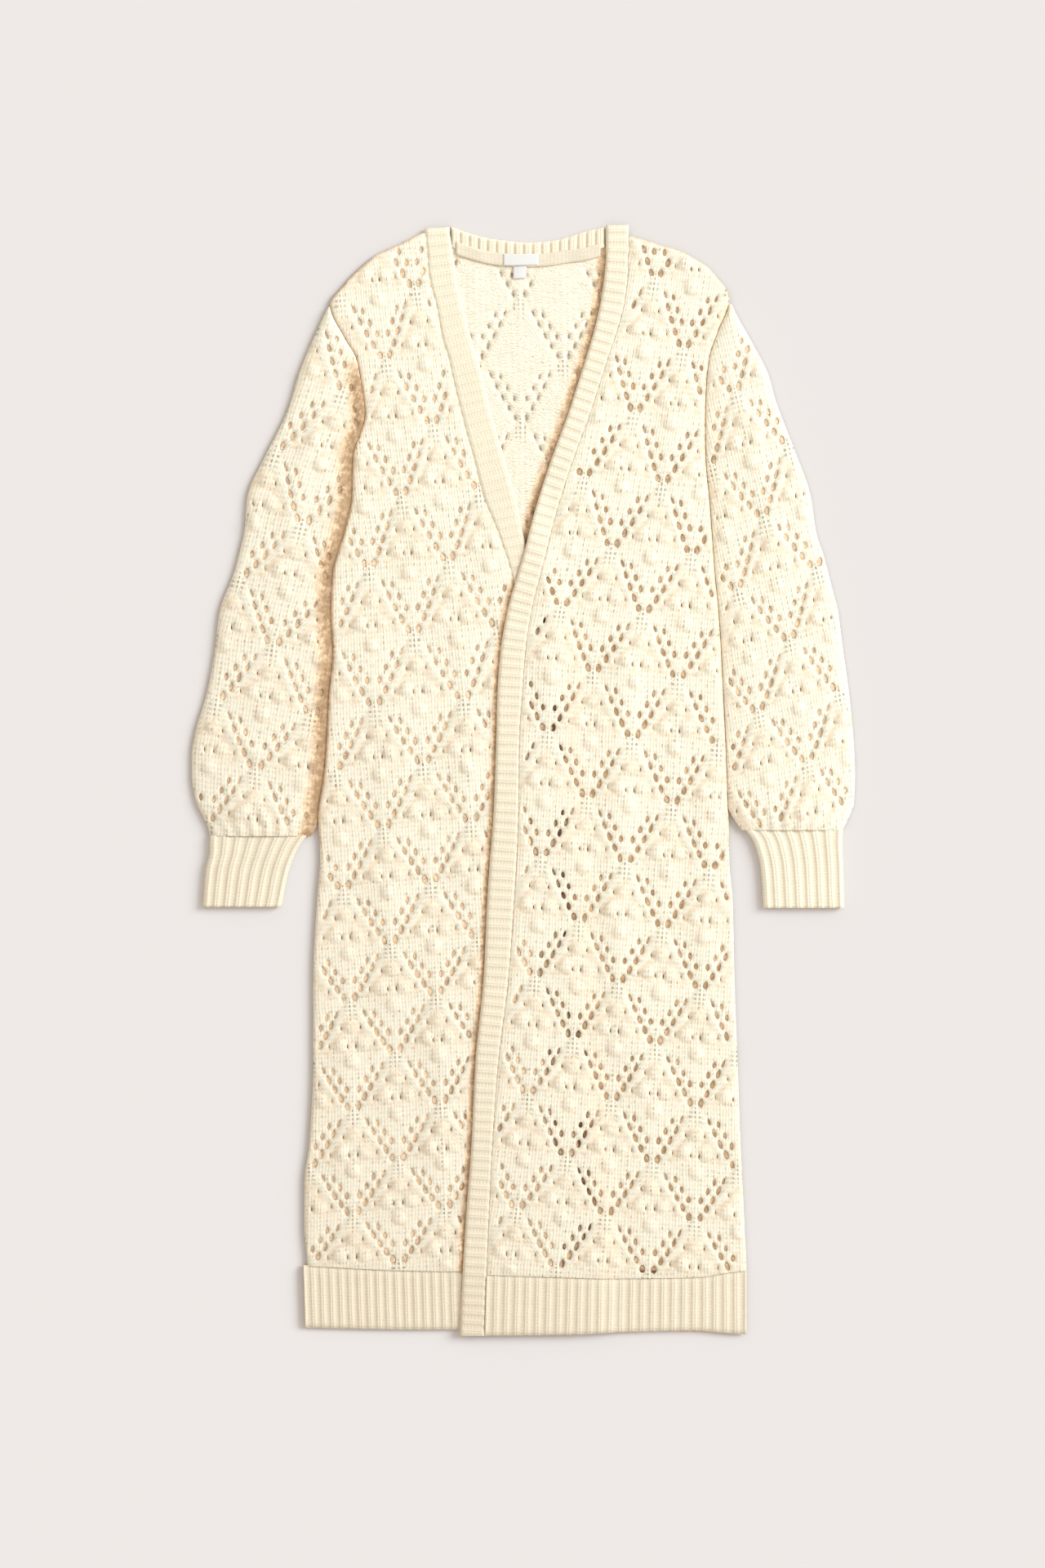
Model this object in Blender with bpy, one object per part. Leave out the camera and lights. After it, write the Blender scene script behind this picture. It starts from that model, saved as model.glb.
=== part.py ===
"""Duster cardigan in diamond lace, laid flat with its left front over its right front.

The tables and sizes are in millimetres, and MM turns them into metres where a mesh is made.
X runs across the garment, Y from hem to neck and Z up. The underside rests at Z = 0.
Left and right are the wearer's, so front_left lies at +X.
"""

import math
from collections import namedtuple

import bmesh
import bpy
from mathutils import Vector
from mathutils.geometry import delaunay_2d_cdt

COLLECTION = "duster_cardigan"
MM = 0.001

# Thickness of the layers
BACK_WALL = 2.4
FRONT_WALL = 2.4
EDGE_WALL = 1.4
RIB_WALL = 1.9
RIB_HEIGHT = 1.1
TAPE_WALL = 1.0
SEAM_GAP = 0.3
FRONT_BASE = 3.0
LAYER_GAP = 0.4
EDGE_ROLL = 9.0

# The left front climbs over the right front's band, and slopes down beyond it
OVERLAP_LIFT = 3.6
OVERLAP_LEDGE = 8.0
OVERLAP_SLOPE = 30.0

# Soft waves of the laid cloth
WAVE_HEIGHT = 0.9
WAVE_ACROSS = 230.0
WAVE_ALONG = 390.0
WAVE_FADE = 40.0
WAVE_LEAN = 0.3
WAVE_TURN = 0.2

# Knitted forms
RIB_PITCH_BAND = 9.7
RIB_PITCH_NECK = 9.5
RIB_PITCH_HEM = 9.8
EYELET_WIDTH = 6.2
EYELET_HEIGHT = 9.6
EYELET_CORNERS = 6
BOBBLE_RADIUS = 7.0
BOBBLE_HEIGHT = 4.0
BOBBLE_CORNERS = 5
BOBBLE_TURN = 0.25
CLEAR_OF_EDGE = 4.0

# Spacing of the points along plain edges and steps, and the room they leave each other
EDGE_STEP = 32.0
LEDGE_STEP = 21.0
RIDGE_ROOM = 7.5
CONTROL_ROOM = 11.0
BAND_TOP_ROOM = 8.0
BAND_FOOT_ROOM = 6.0
HEM_ROOM = 4.0
HEM_CLEAR = 5.0
TAPE_STEP = 12.0
PLAIN_HEM_EVERY = 6

# How far the ends of a hem, the neck rib and its tape lie inside their tables
RIGHT_HEM_TOP_INSET = 3.0
RIGHT_HEM_FOOT_INSET = 5.0
LEFT_HEM_INSET = 2.0
BACK_HEM_RIGHT_INSET = 4.0
BACK_HEM_LEFT_INSET = 3.0
NECK_INSET = 0.6
TAPE_RIGHT_INSET = 5.0
TAPE_LEFT_INSET = 4.0

# Sleeves and cuffs
SLEEVE_PUFF = 2.8
SLEEVE_BASE = 2.8
UNDER_INSET = 0.8
GATHERS = 7
GATHER_HEIGHT = 0.8
GATHER_REACH = 45.0
GATHER_ROW = 0.4
SLEEVE_COLUMNS = (0.15, 0.5, 0.85)
CUFF_RIBS = 7
CUFF_WALL = 3.0
CUFF_SLIT = 1.4
CUFF_SIDE = 5.0
CUFF_LIP = 2.2
CUFF_SHOULDER = 0.7

Front = namedtuple("Front", "y free seam side")
Hem = namedtuple("Hem", "x top bottom")
Sleeve = namedtuple("Sleeve", "y outer tuck")
Cuff = namedtuple("Cuff", "y outer inner")
Neck = namedtuple("Neck", "x top seam tape")
Lattice = namedtuple("Lattice", "tilt rows")
LatticeRow = namedtuple("LatticeRow", "y x half_pitch")

# Free edge of the band, seam of the band to the panel, and side edge of the panel
LEFT_FRONT = [
    Front(546, 83, 105, 109), Front(537, 83, 106, 138), Front(532, 83, 106, 155),
    Front(524, 83, 105, 171), Front(512, 82, 105, 188), Front(482, 78, 102, 207),
    Front(451, 71, 94, 196), Front(424, 63, 85, 187), Front(396, 54, 76, 184),
    Front(368, 45, 67, 183), Front(341, 35, 57, 183), Front(313, 25, 47, 184),
    Front(285, 16, 38, 187), Front(257, 8, 30, 189), Front(229, 1, 23, 191),
    Front(202, -7, 16, 193), Front(174, -15, 9, 196), Front(128, -23, 2, 199),
    Front(87, -26, -1, 201), Front(46, -27, -4, 203), Front(-36, -30, -5, 206),
    Front(-86, -34, -7, 207), Front(-118, -36, -9, 210), Front(-200, -40, -15, 212),
    Front(-282, -48, -25, 215), Front(-364, -52, -31, 218), Front(-446, -58, -35, 222),
    Front(-496, -61, -37, 224), Front(-560, -64, -39, 224),
]
RIGHT_FRONT = [
    Front(549, -74, -98, -102), Front(538, -72, -97, -124), Front(528, -71, -96, -146),
    Front(510, -68, -95, -168), Front(498, -66, -93, -179), Front(477, -61, -87, -194),
    Front(443, -52, -81, -179), Front(424, -46, -75, -168), Front(406, -41, -71, -164),
    Front(368, -32, -62, -159), Front(324, -19, -50, -171), Front(285, -8, -40, -172),
    Front(251, -1, -26, -179), Front(229, 4, -18, -186), Front(210, 8, -12, -191),
    Front(169, 19, -3, -193), Front(128, 26, 2, -191), Front(87, 29, 5, -195),
    Front(46, 30, 7, -197), Front(5, 32, 8, -200), Front(-36, 34, 8, -206),
    Front(-77, 36, 10, -204), Front(-118, 39, 12, -207), Front(-200, 43, 18, -211),
    Front(-282, 51, 28, -211), Front(-364, 56, 34, -215), Front(-405, 58, 38, -220),
    Front(-446, 61, 39, -220), Front(-489, 64, 41, -217), Front(-555, 66, 43, -219),
]

# Ends of the bands, and where the left band hides the right one
LEFT_BAND_TOP = 557.0
LEFT_BAND_FOOT = -557.0
RIGHT_BAND_TOP = 555.0
RIGHT_BAND_FOOT = -551.0
CROSSING = 222.0

# Rib hems: where the rib starts and where it ends
LEFT_HEM = [
    Hem(-39, -496, -557), Hem(48, -499, -556), Hem(90, -500, -554), Hem(171, -499, -552),
    Hem(207, -494, -555), Hem(226, -492, -556),
]
RIGHT_HEM = [
    Hem(-224, -487, -549), Hem(-125, -492, -551), Hem(-70, -493, -551), Hem(66, -493, -552),
]
BACK_HEM = [Hem(-224, -488, -548), Hem(226, -493, -554)]

# Outer edge of each sleeve, and how far its inner edge lies from the side of the body
RIGHT_SLEEVE = [
    Sleeve(475, -196, 0), Sleeve(456, -205, 0), Sleeve(443, -211, 0), Sleeve(424, -219, 0),
    Sleeve(406, -226, 0), Sleeve(385, -232, 0), Sleeve(368, -238, 0), Sleeve(324, -260, 0),
    Sleeve(285, -277, 0), Sleeve(251, -280, 0), Sleeve(229, -285, 0), Sleeve(210, -290, 1),
    Sleeve(169, -305, 1), Sleeve(128, -310, 2), Sleeve(87, -318, 2), Sleeve(46, -330, 2),
    Sleeve(25, -333, 2), Sleeve(5, -333, 3), Sleeve(-20, -329, 3), Sleeve(-36, -322, 3),
    Sleeve(-46, -317, 5), Sleeve(-55, -315, 10),
]
LEFT_SLEEVE = [
    Sleeve(478, 209, 0), Sleeve(460, 218, 0), Sleeve(435, 232, 0), Sleeve(407, 246, 0),
    Sleeve(382, 253, 0), Sleeve(363, 260, 0), Sleeve(327, 274, 0), Sleeve(287, 288, 0),
    Sleeve(249, 294, 0), Sleeve(224, 302, 0), Sleeve(193, 310, 0), Sleeve(169, 316, 0),
    Sleeve(138, 320, 0), Sleeve(87, 327, 0), Sleeve(46, 331, 0), Sleeve(9, 333, 0),
    Sleeve(-22, 332, 1), Sleeve(-37, 327, 7), Sleeve(-49, 321, 15),
]
RIGHT_CUFF = [
    Cuff(-55, -315, -217), Cuff(-70, -315, -227), Cuff(-90, -319, -235), Cuff(-127, -322, -243),
]
LEFT_CUFF = [
    Cuff(-49, 321, 222), Cuff(-62, 320, 231), Cuff(-88, 321, 238), Cuff(-128, 322, 241),
]

# Back neck: top of the standing rib, the seam under the tape, and the tape's lower edge
NECK = [
    Neck(-73, 556, 536, 530), Neck(-57, 550, 530, 524), Neck(-39, 545, 526, 519),
    Neck(-20, 542, 523, 516), Neck(5, 540, 522, 515), Neck(24, 541, 523, 516),
    Neck(43, 545, 525, 519), Neck(59, 550, 528, 521), Neck(82, 556, 536, 527),
]
TAPE_DEPTH = 13.0
LABEL = (-20.0, 15.0, 516.5, 528.0)
SIZE_LABEL = (-10.0, 3.0, 505.0, 514.5)

# Lowest rows of the fronts that the back's sides follow, and lowest eyelets of the back
BACK_SIDES_TO = -480.0
BACK_EYELETS_FROM = 240.0

# Lace: the foot of each V on the first column, and the distance to the next column
COLUMNS = range(-6, 7)
LEFT_FRONT_LACE = Lattice(-3.3, [
    LatticeRow(509, 133, 38), LatticeRow(374, 112, 38.5), LatticeRow(238, 89, 40),
    LatticeRow(113, 70, 42.5), LatticeRow(-13, 64, 42.5), LatticeRow(-137, 56, 42),
    LatticeRow(-254, 50, 41), LatticeRow(-373, 43, 43), LatticeRow(-484, 33, 46),
    LatticeRow(-595, 28, 46),
])
RIGHT_FRONT_LACE = Lattice(3.3, [
    LatticeRow(628, -200, 37), LatticeRow(492, -185, 37.5), LatticeRow(355, -170, 39),
    LatticeRow(218, -155, 39.5), LatticeRow(79, -150, 44.5), LatticeRow(-44, -141, 44),
    LatticeRow(-160, -134, 43.5), LatticeRow(-269, -129, 43), LatticeRow(-378, -126, 44.5),
    LatticeRow(-480, -125, 47), LatticeRow(-590, -125, 47),
])
RIGHT_SLEEVE_LACE = Lattice(-8.0, [
    LatticeRow(528, -140, 47), LatticeRow(395, -179, 47.5), LatticeRow(262, -221, 47.5),
    LatticeRow(140, -251, 48), LatticeRow(16, -269, 47), LatticeRow(-105, -274, 45),
])
LEFT_SLEEVE_LACE = Lattice(11.0, [
    LatticeRow(520, 180, 39), LatticeRow(394, 211, 39), LatticeRow(269, 239, 39.5),
    LatticeRow(145, 266, 40), LatticeRow(23, 284, 41), LatticeRow(-100, 294, 41),
])
BACK_LACE = Lattice(0.0, [
    LatticeRow(613, -5, 43.5), LatticeRow(488, -5, 43.5), LatticeRow(364, -3, 43.5),
    LatticeRow(239, -2, 43.5),
])

# One diamond of the lace: across in columns and up in rows, from the foot of its V
EYELETS = [(-0.066, 0.0), (0.066, 0.0)]
BACK_EYELETS = EYELETS + [(-0.135, 0.08), (0.135, 0.08)]
BOBBLES = [(0.0, 0.41), (-0.13, 0.575), (0.13, 0.575), (0.0, 0.74)]

# Finishes: base colour and roughness
CREAM = (0.90, 0.83, 0.68)
CREAM_RIB = (0.91, 0.85, 0.71)
WHITE_TAPE = (0.92, 0.89, 0.83)
LABEL_WHITE = (0.94, 0.93, 0.90)
WOOL_ROUGHNESS = 0.92
LABEL_ROUGHNESS = 0.7


def remove_old_objects():
    for item in list(bpy.data.objects):
        bpy.data.objects.remove(item, do_unlink=True)


def ease(t):
    """0 to 1 with a soft start and end."""
    t = min(max(t, 0.0), 1.0)
    return t * t * (3.0 - 2.0 * t)


def read(table, place, column, key="y"):
    """A column of a table at a place along its key, straight between the rows."""
    rows = sorted(table, key=lambda row: getattr(row, key))
    keys = [getattr(row, key) for row in rows]
    if place <= keys[0]:
        return float(getattr(rows[0], column))
    for below, above in zip(rows, rows[1:]):
        high = getattr(above, key)
        if place <= high:
            low = getattr(below, key)
            t = (place - low) / (high - low)
            return (1.0 - t) * getattr(below, column) + t * getattr(above, column)
    return float(getattr(rows[-1], column))


def wave(x, y):
    """Height of the soft waves, never below zero."""
    across = math.sin(2.0 * math.pi * (x / WAVE_ACROSS + WAVE_LEAN * y / WAVE_ALONG))
    along = math.sin(2.0 * math.pi * (y / WAVE_ALONG - WAVE_TURN * x / WAVE_ACROSS))
    return WAVE_HEIGHT * (0.5 + 0.25 * (across + along))


def under_left_front(x, y):
    """0 on the part of the right front that shows, rising to 1 where the left front hides it."""
    return ease(1.0 - (read(LEFT_FRONT, y, "free") - x) / WAVE_FADE)


def right_front_base(x, y):
    return FRONT_BASE + wave(x, y) * (1.0 - under_left_front(x, y))


def left_front_base(x, y):
    beyond = x - read(RIGHT_FRONT, y, "free") - OVERLAP_LEDGE
    lift = 1.0 - ease(beyond / OVERLAP_SLOPE)
    return FRONT_BASE + OVERLAP_LIFT * lift + wave(x, y) * (1.0 - lift)


def lattice_point(lace, column, row):
    """A point of the lace: columns count half pitches, rows count down from the first."""
    rows = lace.rows
    row = min(max(row, 0.0), len(rows) - 1.0)
    index = min(int(row), len(rows) - 2)
    t = row - index
    upper, lower = rows[index], rows[index + 1]
    x = (1.0 - t) * upper.x + t * lower.x
    y = (1.0 - t) * upper.y + t * lower.y
    pitch = (1.0 - t) * upper.half_pitch + t * lower.half_pitch
    return x + column * pitch, y + column * lace.tilt


def lace_places(lace, motif, clear):
    """Where a motif's points fall, for every V whose points are clear of the edges."""
    places = []
    for column in COLUMNS:
        for step in range(len(lace.rows)):
            foot = step + 0.5 * (column % 2)
            for across, up in motif:
                x, y = lattice_point(lace, column + 2.0 * across, foot - up)
                inside_rows = 0.0 < foot - up < len(lace.rows) - 1.0
                if inside_rows and clear(x, y):
                    places.append((x, y))
    return places


def ring(x, y, width, height, corners, turn=0.5):
    """Corners of an oval, anticlockwise."""
    points = []
    for corner in range(corners):
        angle = 2.0 * math.pi * (corner + turn) / corners
        points.append((x + 0.5 * width * math.cos(angle), y + 0.5 * height * math.sin(angle)))
    return points


def spread(start, end, step=EDGE_STEP):
    """Even places from start to end, about a step apart, both ends included."""
    count = max(1, round(abs(end - start) / step))
    return [start + (end - start) * index / count for index in range(count + 1)]


def hem_places(hem, start, end):
    """Places along a hem's edge from start to end, its table's own rows among them."""
    low, high = sorted((start, end))
    rows = [float(row.x) for row in hem if low + HEM_ROOM < row.x < high - HEM_ROOM]
    places = [x for x in spread(low, high) if all(abs(x - row) > HEM_ROOM for row in rows)]
    return sorted(places + rows, reverse=end < start)


def triangles_over(points, loops):
    """Triangles between the first loop and the others, which are holes."""
    edges = []
    for loop in loops:
        edges += list(zip(loop, loop[1:] + loop[:1]))
    flat = [Vector(point) for point in points]
    result = delaunay_2d_cdt(flat, edges, [], 1, 1e-4)
    corners = [origin[0] for origin in result[3]]
    holes = [set(loop) for loop in loops[1:]]
    faces = []
    for face in result[2]:
        face = [corners[index] for index in face]
        if not any(hole.issuperset(face) for hole in holes):
            faces.append(face)
    return faces


def new_material(name, colour, roughness):
    material = bpy.data.materials.new(name)
    material.use_nodes = True
    shader = material.node_tree.nodes["Principled BSDF"]
    shader.inputs["Base Color"].default_value = (*colour, 1.0)
    shader.inputs["Roughness"].default_value = roughness
    shader.inputs["Metallic"].default_value = 0.0
    material.diffuse_color = (*colour, 1.0)
    return material


def new_object(name, bm, colour, roughness=WOOL_ROUGHNESS):
    """A mesh object from points in millimetres, in the cardigan's collection."""
    bmesh.ops.recalc_face_normals(bm, faces=bm.faces)
    bmesh.ops.scale(bm, vec=(MM, MM, MM), verts=bm.verts)
    mesh = bpy.data.meshes.new(name)
    bm.to_mesh(mesh)
    bm.free()
    mesh.materials.append(new_material(name + "_finish", colour, roughness))
    item = bpy.data.objects.new(name, mesh)
    bpy.data.collections[COLLECTION].objects.link(item)
    return item


def cloth_panel(name, outline, top, bottom, holes=(), bobbles=(), controls=(), ridge=()):
    """A wall between two surfaces over one outline, cut by holes and raised in bobbles.

    ridge holds points that keep the line of a step, and controls the points of open cloth.
    """
    flat = list(outline)
    loops = [list(range(len(flat)))]
    for hole in holes:
        loops.append(list(range(len(flat), len(flat) + len(hole))))
        flat += hole
    for places, room in ((ridge, RIDGE_ROOM), (controls, CONTROL_ROOM)):
        taken = flat + list(bobbles)
        flat += [place for place in places if min(math.dist(place, other) for other in taken) > room]
    lower_faces = triangles_over(flat, loops)
    lower_count = len(flat)
    heights = [top(x, y) for x, y in flat]
    for x, y in bobbles:
        foot = ring(x, y, 2.0 * BOBBLE_RADIUS, 2.0 * BOBBLE_RADIUS, BOBBLE_CORNERS, BOBBLE_TURN)
        flat += foot
        heights += [top(*point) for point in foot]
        flat.append((x, y))
        heights.append(top(x, y) + BOBBLE_HEIGHT)
    upper_faces = triangles_over(flat, loops)
    bm = bmesh.new()
    upper = [bm.verts.new((x, y, z)) for (x, y), z in zip(flat, heights)]
    lower = [bm.verts.new((x, y, bottom(x, y))) for x, y in flat[:lower_count]]
    for face in upper_faces:
        bm.faces.new([upper[index] for index in face])
    for face in lower_faces:
        bm.faces.new([lower[index] for index in reversed(face)])
    for loop in loops:
        for here, after in zip(loop, loop[1:] + loop[:1]):
            bm.faces.new([lower[here], lower[after], upper[after], upper[here]])
    return new_object(name, bm, CREAM)


def stitch(bm, first, second, along):
    """Triangles between two edges that run side by side, whatever their point counts."""
    i, j = 0, 0
    while i < len(first) - 1 or j < len(second) - 1:
        step_first = j == len(second) - 1
        if i < len(first) - 1 and j < len(second) - 1:
            ahead_first = abs(first[i + 1].co[along] - first[0].co[along])
            ahead_second = abs(second[j + 1].co[along] - second[0].co[along])
            step_first = ahead_first <= ahead_second
        if step_first:
            bm.faces.new([first[i], first[i + 1], second[j]])
            i += 1
        else:
            bm.faces.new([first[i], second[j + 1], second[j]])
            j += 1


def cloth_strip(name, upper_rows, lower_rows, along, colour=CREAM_RIB, roughness=WOOL_ROUGHNESS):
    """A wall along a strip: each row is a pair of points, one on either edge."""
    bm = bmesh.new()
    upper = [[bm.verts.new(point) for point in row] for row in upper_rows]
    lower = [[bm.verts.new(point) for point in row] for row in lower_rows]
    for rows in (upper, lower):
        for here, after in zip(rows, rows[1:]):
            bm.faces.new([here[0], here[1], after[1], after[0]])
    for side in (0, 1):
        stitch(bm, [row[side] for row in upper], [row[side] for row in lower], along)
    for end in (0, -1):
        bm.faces.new([upper[end][0], upper[end][1], lower[end][1], lower[end][0]])
    return new_object(name, bm, colour, roughness)


def hem_height(hem, x, column="top"):
    return read(hem, x, column, key="x")


def front_outline(front, hem):
    """Outline of a front between its band and its side, anticlockwise, half a gap inside."""
    half_gap = 0.5 * SEAM_GAP
    out = 1.0 if front[0].side > front[0].seam else -1.0
    seam_foot = hem_height(hem, front[-1].seam) + half_gap
    side_foot = hem_height(hem, front[-3].side) + half_gap
    seam = [(row.seam + out * half_gap, row.y) for row in front if row.y > seam_foot + HEM_CLEAR]
    side = [(row.side, row.y) for row in front if row.y > side_foot + HEM_CLEAR]
    start = read(front, seam_foot, "seam") + out * half_gap
    end = read(front, side_foot, "side")
    foot = [(x, hem_height(hem, x) + half_gap) for x in hem_places(hem, start, end)]
    outline = seam + foot + list(reversed(side))
    return outline if out > 0.0 else list(reversed(outline))


def edge_wall(distance, wall):
    """Thickness of a wall whose outer edge is rounded down."""
    return EDGE_WALL + (wall - EDGE_WALL) * ease(distance / EDGE_ROLL)


def seam_row(front, y):
    """Points of a rib across a band, square to the band's free edge."""
    reach = 20.0
    free = read(front, y, "free")
    lean = (read(front, y + reach, "free") - read(front, y - reach, "free")) / (2.0 * reach)
    across = read(front, y, "seam") - free
    seam_y = y - lean * across
    return free, seam_y, read(front, seam_y, "seam")


def band_rows(front, base, top, foot, ribs_to):
    """Rows of a front band: ribbed above a height, plain below it, over a plain inside."""
    inset = math.copysign(0.5 * SEAM_GAP, front[0].seam - front[0].free)
    count = 2 * round((top - ribs_to) / RIB_PITCH_BAND)
    upper = []
    for index in range(count + 1):
        y = top + (ribs_to - top) * index / count
        free, seam_y, seam = seam_row(front, y)
        if index == count:
            seam_y = ribs_to
            seam = read(front, ribs_to, "seam")
        seam -= inset
        rise = RIB_WALL + RIB_HEIGHT * (index % 2)
        upper.append(((free, y, base(free, y) + rise), (seam, seam_y, base(seam, seam_y) + rise)))

    def plain_row(y, rise):
        free, seam = read(front, y, "free"), read(front, y, "seam") - inset
        return (free, y, base(free, y) + rise), (seam, y, base(seam, y) + rise)

    low, high = foot + BAND_FOOT_ROOM, top - BAND_TOP_ROOM
    heights = [row.y for row in front if low < row.y < high] + [foot]
    plain_rise = RIB_WALL + 0.5 * RIB_HEIGHT
    upper += [plain_row(y, plain_rise) for y in heights if y < ribs_to - BAND_FOOT_ROOM]
    lower = [[(x, y, base(x, y)) for x, y, _ in upper[0]]]
    lower += [plain_row(y, 0.0) for y in heights]
    return upper, lower


def hem_rows(hem, base, start, end, ribs_from, ribs_to):
    """Rows of a rib hem across its width: ribbed between two places, plain outside them.

    start and end each give the hem's end as its X at the top and its X at the bottom.
    """
    count = 2 * round(abs(end[0] - start[0]) / RIB_PITCH_HEM)

    def row_at(t, rise):
        high_x = start[0] + (end[0] - start[0]) * t
        low_x = start[1] + (end[1] - start[1]) * t
        high_y = hem_height(hem, high_x) - 0.5 * SEAM_GAP
        low_y = hem_height(hem, low_x, "bottom")
        high = (high_x, high_y, base(high_x, high_y) + rise)
        return high, (low_x, low_y, base(low_x, low_y) + rise)

    upper = []
    for index in range(count + 1):
        x = start[0] + (end[0] - start[0]) * index / count
        rise = RIB_WALL + RIB_HEIGHT * (index % 2)
        if not ribs_from <= x <= ribs_to:
            if index % PLAIN_HEM_EVERY and index != count:
                continue
            rise = RIB_WALL + 0.5 * RIB_HEIGHT
        upper.append(row_at(index / count, rise))
    lower = []
    for x in hem_places(hem, start[0], end[0]):
        lower.append(row_at((x - start[0]) / (end[0] - start[0]), 0.0))
    return upper, lower


def make_front(name, front, hem, lace, base, shows, ridge=()):
    out = 1.0 if front[0].side > front[0].seam else -1.0

    def clear_by(x, y):
        seam, side = read(front, y, "seam"), read(front, y, "side")
        sides = min(out * (x - seam), out * (side - x))
        return min(sides, y - hem_height(hem, x))

    def top(x, y):
        return base(x, y) + edge_wall(out * (read(front, y, "side") - x), FRONT_WALL)

    def eyelet_fits(x, y):
        return clear_by(x, y) > 0.5 * EYELET_WIDTH + CLEAR_OF_EDGE and shows(x, y)

    def bobble_fits(x, y):
        return clear_by(x, y) > BOBBLE_RADIUS + 0.5 * CLEAR_OF_EDGE and shows(x, y)

    holes = []
    for x, y in lace_places(lace, EYELETS, eyelet_fits):
        holes.append(ring(x, y, EYELET_WIDTH, EYELET_HEIGHT, EYELET_CORNERS))
    bobbles = lace_places(lace, BOBBLES, bobble_fits)
    controls = []
    for y in spread(front[0].y, front[-1].y, 2.0 * EDGE_STEP):
        low, high = sorted((read(front, y, "seam"), read(front, y, "side")))
        for x in spread(low, high, 2.0 * EDGE_STEP):
            if clear_by(x, y) > 2.0 * BOBBLE_RADIUS:
                controls.append((x, y))
    outline = front_outline(front, hem)
    kept = [point for point in ridge if clear_by(*point) > BOBBLE_RADIUS]
    cloth_panel(name, outline, top, base, holes, bobbles, controls, kept)


def right_shows(x, y):
    """Whether the right front shows beside the left front's free edge."""
    return read(LEFT_FRONT, y, "free") - x > BOBBLE_RADIUS + SEAM_GAP


def everywhere(_x, _y):
    return True


def make_fronts():
    make_front("front_right", RIGHT_FRONT, RIGHT_HEM, RIGHT_FRONT_LACE, right_front_base, right_shows)
    step = []
    for y in spread(CROSSING + 3.0 * EDGE_STEP, RIGHT_BAND_FOOT, LEDGE_STEP):
        ledge = read(RIGHT_FRONT, y, "free") + OVERLAP_LEDGE
        step += [(ledge, y), (ledge + OVERLAP_SLOPE, y)]
    make_front(
        "front_left", LEFT_FRONT, LEFT_HEM, LEFT_FRONT_LACE, left_front_base, everywhere, step
    )


def make_bands():
    right = band_rows(RIGHT_FRONT, right_front_base, RIGHT_BAND_TOP, RIGHT_BAND_FOOT, CROSSING)
    cloth_strip("band_front_right", *right, along=1)
    left = band_rows(LEFT_FRONT, left_front_base, LEFT_BAND_TOP, LEFT_BAND_FOOT, LEFT_BAND_FOOT)
    cloth_strip("band_front_left", *left, along=1)


def make_hems():
    half_gap = 0.5 * SEAM_GAP
    side_end = RIGHT_HEM[0].x
    side = (side_end + RIGHT_HEM_TOP_INSET, side_end + RIGHT_HEM_FOOT_INSET)
    seam = band_seam_ends(RIGHT_FRONT, RIGHT_HEM, -half_gap)
    hidden_from = LEFT_FRONT[-1].free + RIB_PITCH_HEM
    rows = hem_rows(RIGHT_HEM, right_front_base, side, seam, -math.inf, hidden_from)
    cloth_strip("hem_front_right", *rows, along=0)
    side = (LEFT_HEM[-1].x - LEFT_HEM_INSET, LEFT_HEM[-1].x - LEFT_HEM_INSET)
    seam = band_seam_ends(LEFT_FRONT, LEFT_HEM, half_gap)
    rows = hem_rows(LEFT_HEM, left_front_base, seam, side, -math.inf, math.inf)
    cloth_strip("hem_front_left", *rows, along=0)
    left_end = RIGHT_HEM[0].x + BACK_HEM_RIGHT_INSET
    right_end = LEFT_HEM[-1].x - BACK_HEM_LEFT_INSET
    upper, lower = [], []
    for x in spread(left_end, right_end):
        high, low = hem_height(BACK_HEM, x) - half_gap, hem_height(BACK_HEM, x, "bottom")
        upper.append(((x, high, BACK_WALL), (x, low, BACK_WALL)))
        lower.append(((x, high, 0.0), (x, low, 0.0)))
    cloth_strip("hem_back", upper, lower, along=0)


def band_seam_ends(front, hem, offset):
    """X of the band's seam where the hem starts and where it ends."""
    near = front[-1].seam
    high, low = hem_height(hem, near), hem_height(hem, near, "bottom")
    return read(front, high, "seam") + offset, read(front, low, "seam") + offset


def make_back():
    """The back lies under both fronts and shows its wrong side inside the neck."""
    half_gap = 0.5 * SEAM_GAP
    outline = [(row.side, row.y) for row in RIGHT_FRONT if row.y > BACK_SIDES_TO]
    start = read(RIGHT_FRONT, BACK_HEM[0].top, "side")
    foot = spread(start, read(LEFT_FRONT, BACK_HEM[-1].top, "side"))
    outline += [(x, hem_height(BACK_HEM, x) + half_gap) for x in foot]
    outline += [(row.side, row.y) for row in reversed(LEFT_FRONT) if row.y > BACK_SIDES_TO]
    outline += [(row.x, row.seam - half_gap) for row in reversed(NECK)]

    def shows(x, y):
        inside = read(RIGHT_FRONT, y, "free") < x < read(LEFT_FRONT, y, "free")
        return inside and BACK_EYELETS_FROM < y < SIZE_LABEL[2] - EYELET_HEIGHT

    holes = []
    for x, y in lace_places(BACK_LACE, BACK_EYELETS, shows):
        holes.append(ring(x, y, EYELET_WIDTH, EYELET_HEIGHT, EYELET_CORNERS))
    cloth_panel("back", outline, lambda x, y: BACK_WALL, lambda x, y: 0.0, holes)


def neck_height(x, column):
    return read(NECK, x, column, key="x")


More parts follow.
